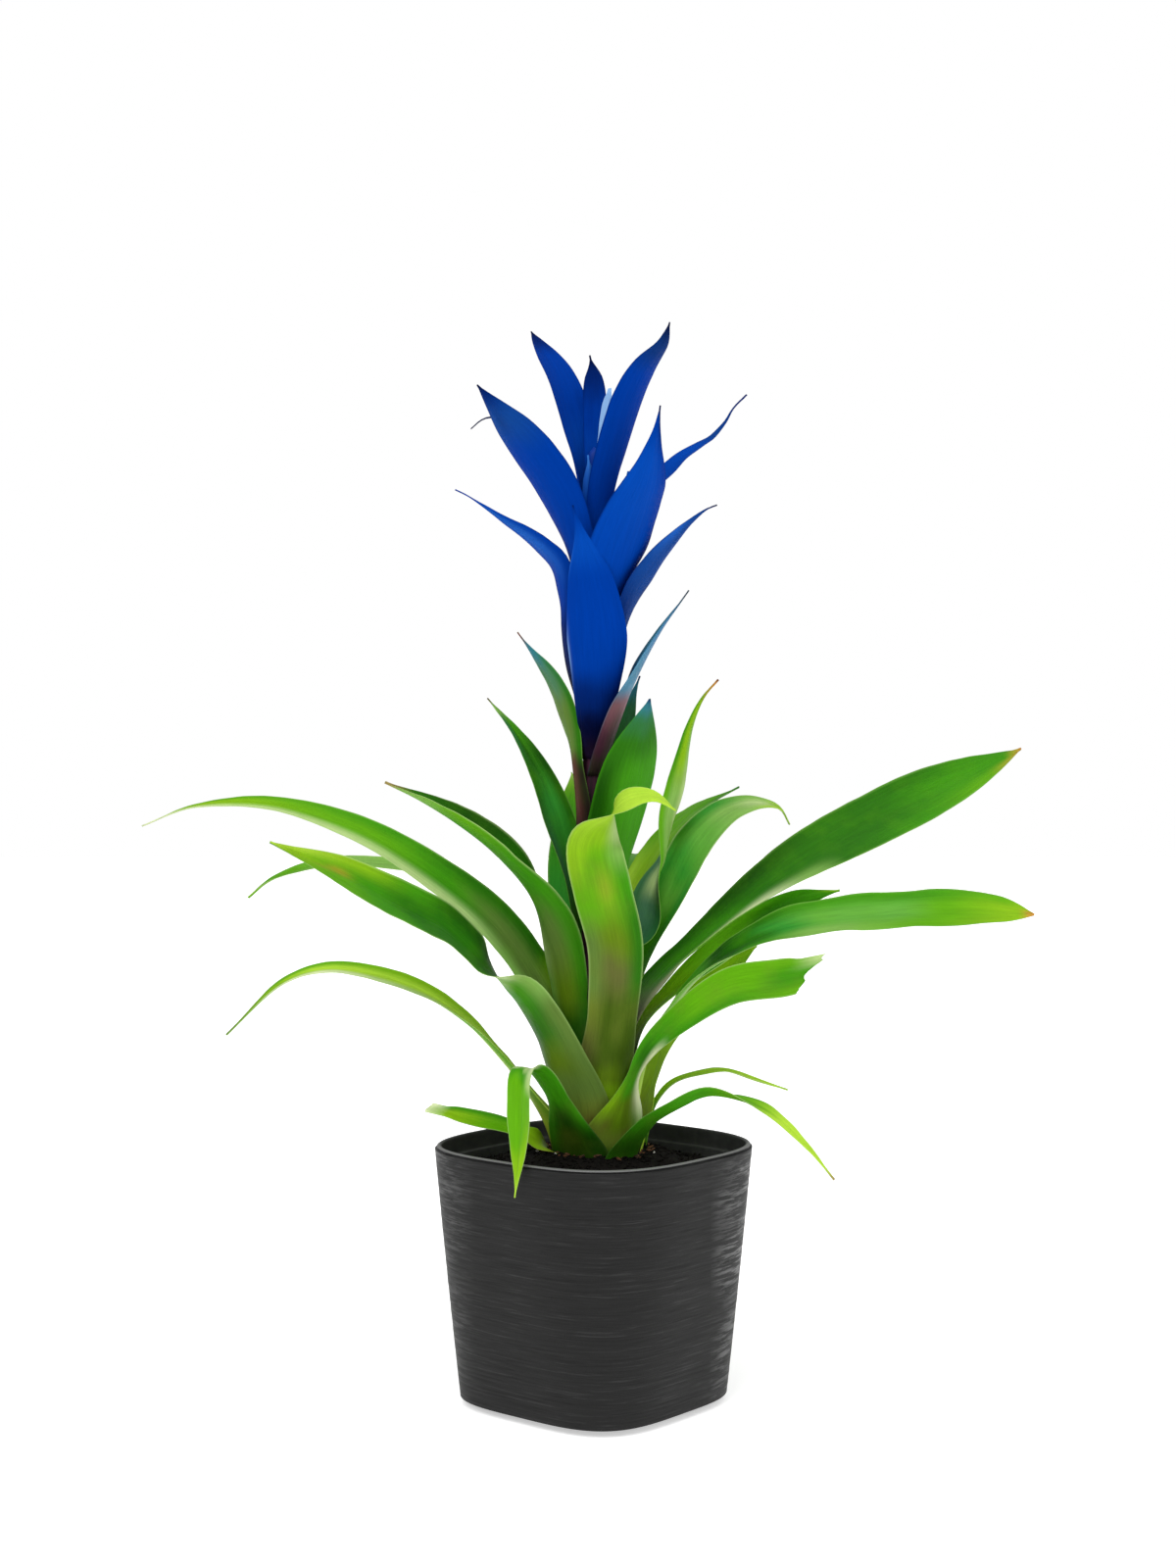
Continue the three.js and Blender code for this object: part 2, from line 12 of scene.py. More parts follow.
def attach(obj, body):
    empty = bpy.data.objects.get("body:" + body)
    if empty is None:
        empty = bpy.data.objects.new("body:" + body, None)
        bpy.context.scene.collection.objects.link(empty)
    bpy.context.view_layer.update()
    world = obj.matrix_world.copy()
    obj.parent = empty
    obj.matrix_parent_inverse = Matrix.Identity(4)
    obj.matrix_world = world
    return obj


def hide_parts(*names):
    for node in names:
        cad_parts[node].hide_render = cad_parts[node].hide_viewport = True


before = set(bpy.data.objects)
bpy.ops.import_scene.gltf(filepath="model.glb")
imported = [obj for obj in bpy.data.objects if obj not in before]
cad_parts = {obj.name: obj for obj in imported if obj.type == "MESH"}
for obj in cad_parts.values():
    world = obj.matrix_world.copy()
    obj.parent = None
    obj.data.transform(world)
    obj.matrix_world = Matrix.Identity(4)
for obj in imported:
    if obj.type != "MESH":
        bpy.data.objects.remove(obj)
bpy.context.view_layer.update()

MM = 0.001

# The planter
POT_HEIGHT = 138
RIM_HALF = 75
FOOT_HALF = 64.6
RIM_SQUARENESS = 3.0
FOOT_SQUARENESS = 3.7
POT_TURN = math.radians(5)
WALL = 2.4
FLOOR = 4
FOOT_ROUND = 4.5
LIP_DEPTH = 2
LIP_GLEAM = 0.7
INNER_LEDGE = 9
INNER_SETBACK = 3.2
COMB_DEPTH = 0.12
POT_STEPS = 240
POT_STEP_HEIGHT = 2.4

# The mix in it
SOIL_AT_WALL = 124
SOIL_AT_CROWN = 134
MOUND_TOP = 30
MOUND_FOOT = 68
ROUND_PLAN = 30
SQUARE_PLAN = 60
SOIL_STEPS = 120
HANDFUL = 40
UNEVENNESS = 0.28

# The crown and the flower stem. The outline gives a radius for each height, from the crown up.
CROWN_X = 2
CROWN_FOOT = 112
CROWN_RADIUS = 25
STEM_TOP = 505
STEM_OUTLINE = [(126, CROWN_RADIUS), (138, 19), (222, 7.5), (STEM_TOP, 3.2)]
STEM_LEVELS = [126, 138, 160, 180, 200, 222, *range(230, STEM_TOP, 8), STEM_TOP]
STEM_STEPS = 48
STEM_LEAN_X = -2.5
LEAN_START = 215
LEAN_MOST = 310
LEAN_END = 350

# The blades
LEAF_THICKNESS = 0.9
BRACT_THICKNESS = 0.7
LEAF_GAP = 0.5
BRACT_GAP = 0.4
FIT = 0.35
WIDEST_SHEATH = 1.15
DEEPEST_FOLD = 1.9
CLASPED_SHARE = 0.4
LEAST_UPRIGHT = 0.25
WAVE_RATE = 0.16
GROOVE_WIDTH = 0.16
LUMP_LENGTH = 42
RIPPLE_LENGTH = 9
MIDDLE_PAINT = 0.15
EDGE_PAINT = 0.85
RIM_PAINT = 0.93
STATIONS = 120
ROW_LENGTH = 2.8
FEWEST_ROWS = 24
COLUMNS = 22
NARROW = 14
NARROW_COLUMNS = 14
UV_UNIT = 10
FIRST_BRACT_SEED = 40

# The studio, in metres and degrees
CAMERA_PLACE = (-0.0032, -1.25, 0.351)
CAMERA_DIP = 0.981
CAMERA_LENS = 53.86
CAMERA_SENSOR = 36
SKY_STRENGTH = 0.4
FLOOR_HALF = 6

# The paints, as hex codes of the colours as they are seen
PALETTE = dict(
    lime="aed63c", spring="84b418", grass="5aa00e", leaf="3a8a0e", deep="266a0c", bottle="164c08",
    night="153806", mint="5ea23a", emerald="2f8a2c", sage="7fae52", celery="b2cc84", cream="dfe8b8",
    olive="6a7a2a", fern="5c7a34", jade="4a7a5c", taupe="8c8a6a", khaki="5e6230", moss="5c7a12",
    ivy="3c560e", stone="b4ae92", straw="98982c", tan="a88c5a", bark="5a3b20", rust="c8863a",
    brick="6e261a", pine="2a6c3a", teal="2c7484", sea="1c6a9c", steel="4c86a8", royal="003696",
    azure="0444a8", denim="1c58b4", indigo="10408a", dusk="0c2f6c", sky="3c7ed2", ice="9cc8f6",
    navy="021f62", ink="04082a", wine="1c0c14", plum="4a2438", russet="5a2e2c", rose="80505e")

# The tint of the light that glances off the skins
GREEN_GLINT = (0.75, 1.0, 0.3)
BLUE_GLINT = (0.15, 0.35, 1.0)


# The blades' shapes. foot is the height it grows from. wide is across the blade and clasp half across the
# sheath. Turns, rolls and troughs are in degrees, and places along a blade are shares of its length. A
# path gives the midrib past its foot: reach from the axis, height and, for some, drift to the side.
LEAF_HABIT = dict(
    wide=30, clasp=28, waist=0.75, widest=0.55, taper=1.9, tip=0.5, sheath_end=0.3, hug=0.26,
    trough=38, trough_tip=14, roll_start=0, roll=0, roll_from=0.25, roll_to=0.6, wave=0,
    point=0.35, pinch=None, cut=0, groove=0.45, lumps=0.9, ripple=0.35)
BRACT_HABIT = dict(
    LEAF_HABIT, clasp=9, wide=24, waist=0.9, widest=0.5, taper=2.0, sheath_end=0.4, hug=0.5,
    trough=48, trough_tip=20, point=0.6, groove=0.25, lumps=0.5, ripple=0.25)

ROSETTE = dict(
    leaf_low_left=dict(
        foot=127, turn=-165, wide=10, clasp=17, sheath_end=0.35, taper=3.2, tip=3.2, trough=30,
        roll_start=-45, roll=-55, cut=0.05,
        path=[(27, 134.5), (47, 147.5), (70, 154.5), (94, 161)]),
    leaf_low_right=dict(
        foot=127, turn=-62, wide=12, clasp=10, trough=30, roll=45, roll_from=0.45, roll_to=0.7, taper=1.5,
        path=[(28, 135), (44, 153, 4), (57, 162.5, 12), (71, 171.5, 27), (91, 166, 45), (108, 146.5, 63),
              (117, 131, 73)]),
    leaf_low_back=dict(
        foot=127, turn=96, wide=16, clasp=16,
        path=[(28, 138), (66, 172), (100, 180), (135, 168)]),
    leaf_low_right_thin=dict(
        foot=127, turn=30, wide=6, clasp=9, trough=30, roll=20,
        path=[(27, 137), (35, 155), (46, 166), (62, 170), (81, 171), (101, 165), (123, 157)]),
    leaf_folded_front=dict(
        foot=129.5, turn=-120, wide=15.5, clasp=20, waist=0.9, widest=0.72, taper=1.3, trough=42, roll=8,
        path=[(27, 141), (39, 161), (56, 179), (64, 184), (71, 186), (75.5, 185.5), (78, 182), (79, 175),
              (79, 165), (79.5, 150), (81.5, 135), (84, 122.5)]),
    leaf_left_arch=dict(
        foot=132, turn=-174, wide=19, clasp=27, widest=0.35, taper=1.3, roll=-35,
        path=[(28.5, 149), (43.5, 174), (57.5, 191), (72, 205), (94, 220), (120, 229.5), (145, 232.5),
              (167, 225.5), (196, 198)]),
    leaf_right_narrow=dict(
        foot=132, turn=35, wide=16, clasp=22, widest=0.7, taper=3, roll=38,
        path=[(28, 150), (36, 168), (43, 187), (54, 201), (70, 215), (92, 229), (109, 238)]),
    leaf_right_torn=dict(
        foot=134.5, turn=-52, wide=20, clasp=25, waist=0.15, widest=0.78, sheath_end=0.28, taper=4, tip=8,
        cut=-0.12, roll=-68, roll_from=0.15, roll_to=0.5, trough=30,
        path=[(23.5, 150, -2), (31, 171, -3), (42, 192, 0), (60, 210, 7), (86, 227.5, 18), (112, 233, 30),
              (135, 238.5, 40)]),
    leaf_back_left_arch=dict(
        foot=147, turn=150, wide=9.5, clasp=16, widest=0.85, taper=1.5, roll=-35, point=0,
        path=[(21, 175), (36, 213), (57, 243), (83, 264), (109, 279), (135, 283), (169, 283.5),
              (204, 277), (222, 270.5), (235, 261.5)]),
    leaf_left_broad=dict(
        foot=138, turn=-140, wide=34, clasp=24, waist=0.9, sheath_end=0.45, widest=0.65, taper=2.4,
        roll=-55, roll_from=0.36, roll_to=0.5,
        path=[(22, 160, 4), (31, 186, 3), (40, 207, -2), (50, 222, -6), (64, 232.5, -11), (78, 246, -13),
              (89, 256, -15), (103, 263.5, -17), (130, 277, -22), (155, 290, -28), (182, 302.5, -36)]),
    leaf_right_level=dict(
        foot=138, turn=-8, wide=26, clasp=24, waist=0.5, widest=0.78, taper=3.6, roll=45, wave=0.6,
        point=0,
        path=[(22, 162), (29, 190), (48, 221), (73, 242), (99, 254.5), (125, 259.5), (150, 262),
              (176, 264), (205, 264.5), (229, 262.5)]),
    leaf_front_curl=dict(
        foot=147, turn=-88, wide=31, clasp=21, widest=0.62, taper=2.4, roll=115,
        roll_from=0.7, roll_to=0.9, trough=30,
        path=[(21, 176, 3), (27, 212, 7), (32, 245, 8), (38, 275, 1), (42, 298, -3), (46, 311, 3),
              (50, 322, 14), (52, 324, 27), (51, 317, 38)]),
    leaf_left_long=dict(
        foot=156, turn=172, wide=28, clasp=20, hug=0.2, widest=0.3, taper=1.25, roll_start=-30, roll=-48,
        roll_from=0.1, roll_to=0.5,
        path=[(20, 190), (36, 227), (58, 256), (91, 282), (128, 303), (178, 318), (222, 317),
              (252, 306)]),
    leaf_right_short=dict(
        foot=156, turn=25, wide=17, clasp=19, widest=0.72, taper=2.2, roll=52,
        path=[(19, 180), (25, 198), (50, 221), (75, 239), (100, 254), (125, 264.5), (150, 269)]),
    leaf_left_channel=dict(
        foot=165, turn=-162, wide=35, clasp=18, taper=2, roll_start=45, roll=-22,
        roll_from=0.3, roll_to=0.65, trough=55, trough_tip=80, pinch=(0.25, 0.12, 0.12),
        path=[(16, 200), (23, 240), (36, 270), (55, 292), (76, 309), (95, 321), (116, 331)]),
    leaf_right_long=dict(
        foot=165, turn=28, wide=38, clasp=18, waist=0.5, widest=0.72, taper=2.2, roll=38, point=0.1,
        path=[(18, 192), (26, 211), (43, 228), (60, 240.5), (77, 252.5), (103, 270), (129, 284.5),
              (156, 297), (182, 307.5), (237, 330), (283, 348)]),
    leaf_right_hook=dict(
        foot=174, turn=30, wide=24, clasp=14, waist=0.4, widest=0.62, taper=1.6, tip=1.4, roll=35,
        point=0,
        path=[(17, 200), (27.5, 230), (40.6, 258), (51.6, 281), (63, 298.5), (81, 313), (102, 318),
              (118, 314.5), (124, 306)]),
    leaf_back=dict(
        foot=183, turn=78, wide=26, clasp=13,
        path=[(14.5, 202), (21, 230), (42, 262), (80, 284), (120, 286), (160, 270)]),
    leaf_back_left=dict(
        foot=192, turn=97, wide=26, clasp=12, widest=0.4,
        path=[(13, 210, 3), (23, 248, 8), (36, 280, 11), (54, 310, 7), (78, 328, 3), (104, 334, 2)]),
    leaf_back_right=dict(
        foot=201, turn=58, wide=18, clasp=12,
        path=[(12, 225), (19, 246), (32, 265), (54, 286), (83, 303), (118, 316), (158, 325)]),
    leaf_left_upright=dict(
        foot=210, turn=142, wide=21, clasp=10, widest=0.5, taper=1.4, roll=-20,
        path=[(11, 235), (16, 277), (26.5, 308), (38.5, 333), (55.5, 356), (77, 376)]),
    leaf_right_upright=dict(
        foot=219, turn=24, wide=24, clasp=9, waist=1, widest=0.2, taper=1.3, roll_start=55, roll=-82,
        roll_from=0.1, roll_to=0.72,
        path=[(8.5, 230), (16, 240), (25, 249), (28.5, 258), (31, 270), (34, 279), (38.5, 288), (41, 303),
              (42.5, 313), (46, 325), (49.5, 340), (55, 361), (62.5, 376), (72, 386)]),
)
SPIKE = dict(
    stem_leaf_right=dict(
        foot=252, turn=-60, wide=36, clasp=14, widest=0.55, taper=2.4, point=0.2,
        path=[(13, 270), (21, 297), (32, 322), (43, 346), (56, 374)]),
    stem_leaf_back=dict(
        foot=288, turn=50, wide=22, clasp=8,
        path=[(8.4, 304), (14, 330), (28, 361), (42, 388)]),
    stem_leaf_left=dict(
        foot=300, turn=-168, wide=14.5, clasp=11, sheath_end=0.55, widest=0.6, taper=1.5, roll=35,
        path=[(6.8, 313), (8.5, 336), (11, 358), (19, 382), (39, 410)]),
    stem_leaf_teal=dict(
        foot=334, turn=-12, wide=29, clasp=12, sheath_end=0.6, widest=0.35, taper=1.5, roll=15,
        path=[(9, 345), (15, 364), (24, 387), (37, 411), (52, 432)]),
    bract_front=dict(
        foot=343, turn=-93, wide=35, clasp=10, waist=0.65, widest=0.47, taper=1.55, trough=62,
        path=[(9, 356, 2), (14, 382, 3), (18, 405, 2.5), (19.5, 427, 0.5), (22, 443, -2),
              (26.5, 460, -5.5), (29, 475, -9.5)]),
    bract_back_low=dict(
        foot=350, turn=98, wide=23, hug=0.6,
        path=[(10, 366), (15.5, 388), (19.5, 410), (22, 430), (30, 447), (46, 462)]),
    bract_left_low=dict(
        foot=357, turn=178, wide=32, clasp=10, widest=0.38, taper=0.85, roll=35,
        path=[(9, 372), (14.6, 392), (17, 412), (17.5, 431), (20.3, 446), (27, 454), (35, 461), (51, 472),
              (67, 483), (74, 486.5)]),
    bract_right_low=dict(
        foot=370, turn=5, wide=40, clasp=10, widest=0.45, taper=1.3, roll=-20,
        path=[(9, 386), (14, 402), (18.5, 418), (24, 430), (30, 439.5), (36.5, 450), (43, 458.5),
              (52, 469), (61, 476.5), (66, 478.5)]),
    bract_back_right=dict(
        foot=382, turn=62, wide=22,
        path=[(8, 400), (12, 426), (18, 450), (29, 476), (40, 500)]),
    bract_right=dict(
        foot=392, turn=-50, wide=44, clasp=10.5, widest=0.4, taper=1.8,
        path=[(8.8, 408), (14.5, 428, 1), (20, 445, 2), (25, 459, 3), (33.5, 475, 3), (41, 486, 2),
              (48, 504, 0.5), (53, 525)]),
    bract_left=dict(
        foot=401, turn=-140, wide=28, widest=0.6, taper=2.4, roll=20, point=0.25,
        path=[(7.4, 416), (10, 436), (14.5, 456), (21, 473), (30, 488), (44, 503), (60, 518),
              (78, 534)]),
    bract_back_left=dict(
        foot=409, turn=112, wide=20, clasp=8,
        path=[(6.3, 422), (8, 437), (12, 456), (18, 474), (28, 492)]),
    bract_left_small=dict(
        foot=430, turn=148, wide=11, clasp=5.5, taper=2, roll=-30,
        path=[(5.9, 444), (9, 460), (18, 480), (35, 505), (50, 521), (65, 529), (72, 528.5),
              (79.5, 524)]),
    bract_right_curly=dict(
        foot=426, turn=20, wide=22, clasp=6, widest=0.4, taper=0.8, roll=25, roll_from=0.1, roll_to=0.4,
        path=[(6.2, 442), (12, 464), (27, 484), (43, 497.5), (50.5, 505), (61, 512), (68.5, 517),
              (76, 525.5), (80.5, 533), (88.5, 541)]),
    bract_top_right=dict(
        foot=442, turn=-45, clasp=9.5, waist=1, widest=0.6, taper=2.4, point=0.15, hug=0.6,
        path=[(7, 458), (10, 482), (15.5, 503), (23, 522), (30, 535), (39, 547), (51, 558),
              (55, 568)]),
    bract_top_back=dict(
        foot=450, turn=60, wide=16, clasp=8,
        path=[(7, 466), (10, 490), (15, 512), (22, 530)]),
    bract_top_left=dict(
        foot=458, turn=130, waist=1, widest=0.6, taper=3, point=0.05,
        path=[(6.5, 474), (8.8, 492), (12, 507), (18, 524), (28, 546), (41, 563), (53.5, 577)]),
    bract_top_middle=dict(
        foot=468, turn=88, wide=13, clasp=6, hug=0.7, widest=0.7,
        path=[(5.5, 484), (8, 508), (12, 532), (17, 550, 1), (22, 561, 3)]),
    petals_low=dict(
        foot=455, turn=-91, wide=10, clasp=4,
        path=[(6, 468), (8.5, 480, -1), (10.5, 492, -2), (12, 503, -3)]),
    petals_high=dict(
        foot=476, turn=40, wide=9, clasp=3, widest=0.7, taper=4, tip=1.5, point=0,
        path=[(4.7, 492), (7, 510), (9, 526), (11, 541)]),
)

# The blades' colours, as paints from foot to tip with their places in hundredths of the length. A first
# paint without a place is at the foot, and a last one at the tip. upper is the face that looks at the
# plant's axis, under is the other, and both is the two of them. _left and _right are the edges of a face
# for someone who looks along the upper face to the tip, and _edges is both edges. A mark is a patch: its
# place along and across, its length and width as shares, its paint and its strength.
LEAF_COLOURS = dict(
    upper="straw, 12 olive, 30 leaf, 80 leaf, spring",
    under="straw, 12 olive, 30 fern, 60 sage, spring",
    under_edges="olive, 25 grass, spring", rim="celery")
BRACT_COLOURS = dict(both="90 royal, navy", rim="navy")
COLOURS = dict(
    leaf_low_left=dict(
        upper="straw, 25 spring, 50 grass, 85 spring, 95 celery, cream",
        upper_right="straw, 25 spring, 50 leaf, 85 leaf, cream",
        under="straw, 8 olive, 20 straw, 35 spring, 85 grass, cream",
        under_edges="olive, 20 spring, grass"),
    leaf_low_right=dict(both="deep, 30 leaf, 45 leaf, 60 grass, 75 lime, 95 lime, tan", under_edges=""),
    leaf_low_back=dict(upper="olive, 30 leaf, grass"),
    leaf_low_right_thin=dict(both="grass, 40 spring, lime"),
    # The cream and celery band about 55 hundredths up, where the leaf folds over, is a painted highlight.
    leaf_folded_front=dict(
        upper="deep, 45 leaf, 54 celery, 57 leaf, 62 grass, 80 grass, 90 spring, lime",
        upper_left="deep, 50 leaf, 55 cream, 60 celery, 66 grass, 90 spring, lime",
        under="night, 12 ivy, 20 bottle, 30 leaf, 42 leaf, 53 leaf, 57 sage, 62 leaf, lime",
        under_left="night, 10 bottle, 22 leaf, 50 leaf, 57 cream, lime",
        under_right="night, 15 deep, 30 leaf, 50 leaf, 57 celery, lime"),
    leaf_left_arch=dict(
        upper="straw, 15 lime, 75 lime, 85 spring, fern",
        upper_right="straw, 20 lime, 45 spring, 75 grass, fern",
        upper_left="straw, 20 lime, 50 celery, 80 cream, sage", under="straw, 20 lime, 70 celery, sage"),
    leaf_right_narrow=dict(upper="straw, 30 lime, 70 spring", under="50 lime, spring", under_edges=""),
    leaf_right_torn=dict(
        upper="straw, 30 leaf, 60 grass",
        under="deep, 4 olive, 10 moss, 17 moss, 24 leaf, 34 deep, 46 leaf, 62 grass, 80 grass, 92 leaf",
        under_left="olive, 8 sage, 20 cream, 38 cream, 48 leaf, 70 leaf, grass",
        under_right="deep, 8 olive, 16 spring, 26 leaf, 36 leaf, 60 grass, 90 grass, celery",
        marks=[(0.07, 0.1, 0.02, 0.1, "bark", 0.5), (0.1, -0.5, 0.02, 0.1, "bark", 0.4),
               (0.14, -0.2, 0.04, 0.08, "spring", 0.6), (0.1, 0.4, 0.03, 0.08, "deep", 0.5)]),
    leaf_back_left_arch=dict(
        upper="leaf, 50 sage, 75 sage, 90 grass, leaf", under="leaf, 50 sage, grass"),
    # The night and bottle green on its upper face, from about 35 to 56 hundredths up where the blade
    # twists, is painted shade.
    leaf_left_broad=dict(
        upper="straw, 35 deep, 46 bottle, 54 deep, 66 deep, 76 leaf, 86 grass, 95 spring, lime",
        upper_right="straw, 35 night, 56 bottle, 66 leaf, 80 spring, lime",
        upper_left="straw, 40 night, 50 deep, 60 deep, 72 leaf, 84 grass, spring",
        under="moss, 6 olive, 14 fern, 20 moss, 28 deep, 38 leaf, 42 sage, grass",
        under_left="8 olive, 14 fern, 30 fern, 38 sage, 43 celery, grass",
        under_right="olive, 5 straw, 14 moss, 24 deep, 38 leaf, grass",
        marks=[(0.845, -0.1, 0.025, 0.2, "rust", 0.5), (0.88, 0.15, 0.02, 0.15, "straw", 0.5),
               (0.06, 0.5, 0.02, 0.15, "bark", 0.6)]),
    # The mint on its upper face, about 62 to 74 hundredths up, is a painted sheen.
    leaf_right_level=dict(
        upper="straw, 15 spring, 30 grass, 36 leaf, 40 bottle, 46 deep, 52 emerald, 62 mint, 74 mint, "
              "84 grass, 97 spring, rust",
        upper_left="olive, 20 grass, 34 leaf, 40 bottle, 48 deep, 62 leaf, 80 leaf, 94 grass, "
                   "98.5 spring, rust",
        upper_right="straw, 12 cream, 35 cream, 41 deep, 48 leaf, 60 sage, 80 grass, 97 spring, rust",
        under="straw, 10 lime, 20 sage, 50 celery, 60 sage, grass", rim="sage"),
    leaf_front_curl=dict(
        upper="straw, 30 grass, 70 lime",
        under="olive, 4 moss, 9 spring, 13 moss, 18 ivy, 30 ivy, 40 khaki, 48 moss, 58 grass, 68 grass, "
              "76 spring, 84 lime",
        under_left="olive, 10 ivy, 30 ivy, 40 deep, 50 deep, 62 leaf, 72 sage, 78 celery, 88 lime",
        under_right="olive, 10 moss, 18 khaki, 30 olive, 38 fern, 48 fern, 60 grass, 70 spring, 84 lime",
        marks=[(0.62, 0.1, 0.05, 0.3, "straw", 0.5), (0.26, 0.2, 0.04, 0.3, "olive", 0.4)]),
    leaf_left_long=dict(
        upper="straw, 12 fern, 30 fern, 42 leaf, 62 grass, 90 spring, cream",
        upper_right="spring, 10 lime, 20 spring, 26 deep, 40 deep, 55 leaf, 85 grass, spring",
        upper_left="straw, 8 fern, 16 sage, 26 sage, 40 celery, 80 celery, cream",
        under="straw, 10 olive, 20 fern, 30 sage, 50 sage, 90 celery, cream",
        under_left="straw, 10 fern, 20 sage, 50 celery, cream",
        under_right="spring, 12 moss, 20 deep, 40 deep, 60 leaf, grass"),
    leaf_right_short=dict(
        upper="olive, 30 spring, 55 grass, 75 deep, 95 leaf, grass",
        upper_left="olive, 30 spring, 55 grass, 90 leaf, spring",
        upper_right="olive, 30 grass, 55 leaf, 70 bottle, 85 bottle, leaf",
        under="olive, 30 spring, grass"),
    leaf_left_channel=dict(
        upper="bottle, 40 deep, 60 deep, 75 bottle, 92 deep, tan",
        upper_left="bottle, 40 deep, 60 leaf, 80 deep, 94 sage, tan",
        under="night, 14 bottle, 26 moss, 42 fern, 55 leaf, 75 leaf, 95 sage, tan",
        under_left="night, 16 bottle, 32 leaf, 60 leaf, 80 grass, 95 sage, tan",
        under_right="night, 15 bottle, 27 sage, 38 celery, 55 sage, 70 spring, olive"),
    leaf_right_long=dict(
        upper="olive, 10 taupe, 20 leaf, 30 leaf, 42 deep, 68 deep, 85 leaf, 96 leaf, 98.5 straw, rust",
        upper_left="25 deep, 42 bottle, 60 deep, 75 deep, 97 leaf, rust",
        upper_right="10 taupe, 18 stone, 26 celery, 38 cream, 50 sage, 58 deep, 75 leaf, 90 grass, "
                    "97 straw, rust", under="10 taupe, 25 sage, 50 celery, spring", rim="sage"),
    # The mint and emerald bands halfway up its upper face are a painted sheen, and the deep green at its
    # left edge there is painted shade.
    leaf_right_hook=dict(
        upper="deep, 22 leaf, 40 leaf, 50 mint, 57 emerald, 66 mint, 78 sage, 88 celery, 95 spring, lime",
        upper_left="deep, 30 leaf, 42 deep, 55 emerald, 65 deep, 75 emerald, 88 sage, lime",
        upper_right="deep, 25 leaf, 50 emerald, 62 mint, 82 sage, 95 lime",
        under="olive, 40 grass, 80 spring, lime"),
    leaf_back=dict(upper="olive, 30 leaf, grass"),
    leaf_back_left=dict(
        upper="deep, 40 emerald, 70 leaf, spring", under="olive, 40 leaf, 80 sage, lime"),
    leaf_back_right=dict(
        upper="30 lime, 45 spring, 65 grass, leaf", upper_right="lime, 35 spring, 55 grass, deep",
        upper_left="35 lime, 60 grass", under="lime, 35 spring, 60 grass, leaf", under_edges="",
        rim="spring"),
    leaf_left_upright=dict(
        upper="bottle, 35 deep, 60 emerald, 75 deep, 88 leaf, 96 sage, bark",
        upper_left="bottle, 40 pine, 70 deep, 90 pine, 96 sage, bark",
        upper_right="bottle, 50 deep, 75 bottle, 90 leaf, 96 sage, bark",
        under="olive, 40 leaf, 80 deep, bark", rim="sage"),
    leaf_right_upright=dict(
        upper="bottle, 12 pine, 26 jade, 34 celery, 46 pine, 94 spring, brick",
        upper_left="bottle, 20 pine, 50 jade, 94 spring, brick",
        upper_right="bottle, 20 pine, 34 night, 42 sage, 94 spring, brick",
        under="60 sage, 75 spring, 90 spring, 98 rust, brick",
        under_left="sage, 45 celery, 60 celery, 80 sage, 90 spring, 98.5 rust, brick",
        under_right="sage, 45 grass, 60 grass, 75 leaf, 92 grass, 98.5 rust, brick", under_edges="",
        rim="sage"),
    stem_leaf_right=dict(
        upper="deep, 40 leaf, 80 deep, 93 pine, 98 teal, navy",
        under="20 deep, 40 leaf, 65 leaf, 80 deep, 90 pine, 97 teal, navy",
        under_right="30 deep, 60 bottle, 80 deep, 90 pine, 97 teal, navy",
        under_left="deep, 30 leaf, 70 leaf, 85 deep, 92 pine, 97 teal, navy", rim="leaf"),
    stem_leaf_back=dict(both="leaf, 50 deep, 80 pine, 95 teal, navy", rim="pine"),
    stem_leaf_left=dict(
        upper="wine, 20 russet, 38 russet, 48 fern, 62 sage, 78 jade, 93 teal, brick",
        under="wine, 18 russet, 34 russet, 42 fern, 58 fern, 76 jade, 90 teal, brick",
        under_left="30 wine, 42 deep, 60 deep, 80 pine, 92 teal, brick",
        under_right="wine, 15 russet, 32 russet, 40 sage, 58 fern, 78 pine, 90 teal, brick", rim="sage"),
    stem_leaf_teal=dict(
        upper="wine, 20 rose, 35 sea, 80 teal, ink",
        under="18 wine, 27 plum, 37 rose, 46 steel, 56 sea, 85 sea, ink",
        under_right="wine, 17 plum, 35 rose, 45 steel, 56 steel, 80 sea, ink",
        under_left="25 wine, 38 steel, 50 sea, 80 sea, ink", rim="steel"),
    # Its two marks at the edge, in ice and sky blue, are painted highlights along the bract's margin.
    bract_front=dict(
        under="wine, 12 ink, 24 navy, 38 royal, 70 royal, 85 azure, 97 royal, navy", rim="royal",
        marks=[(0.42, -1, 0.09, 0.06, "ice", 0.8), (0.8, -1, 0.06, 0.05, "sky", 0.6)]),
    bract_left_low=dict(
        upper="ink, 30 navy, 50 royal, 66 denim, 85 denim, 95 azure, navy",
        upper_left="ink, 40 navy, 60 royal, 90 azure, navy",
        upper_right="ink, 40 navy, 60 denim, 90 denim, navy",
        under="wine, 15 ink, 35 navy, 50 royal, 66 denim, 85 denim, 95 royal, navy",
        under_edges="ink, 45 navy, 60 royal, azure"),
    bract_right_low=dict(
        upper="ink, 30 indigo, 70 denim, 95 indigo, navy",
        under="ink, 20 navy, 42 indigo, 70 indigo, 90 indigo, navy",
        under_left="ink, 40 navy, 55 royal, 75 azure, navy",
        under_right="ink, 35 navy, 60 indigo, 80 denim, 90 indigo, ink",
        marks=[(0.5, 0.1, 0.04, 0.12, "ink", 0.6)]),
    bract_back_right=dict(upper="ink, 30 navy, 60 royal, 90 sky"),
    bract_left=dict(
        under="navy, 15 royal, 68 royal, 85 indigo, 97 navy, ink",
        marks=[(0.85, -0.3, 0.05, 0.3, "dusk", 0.5)]),
    bract_right=dict(
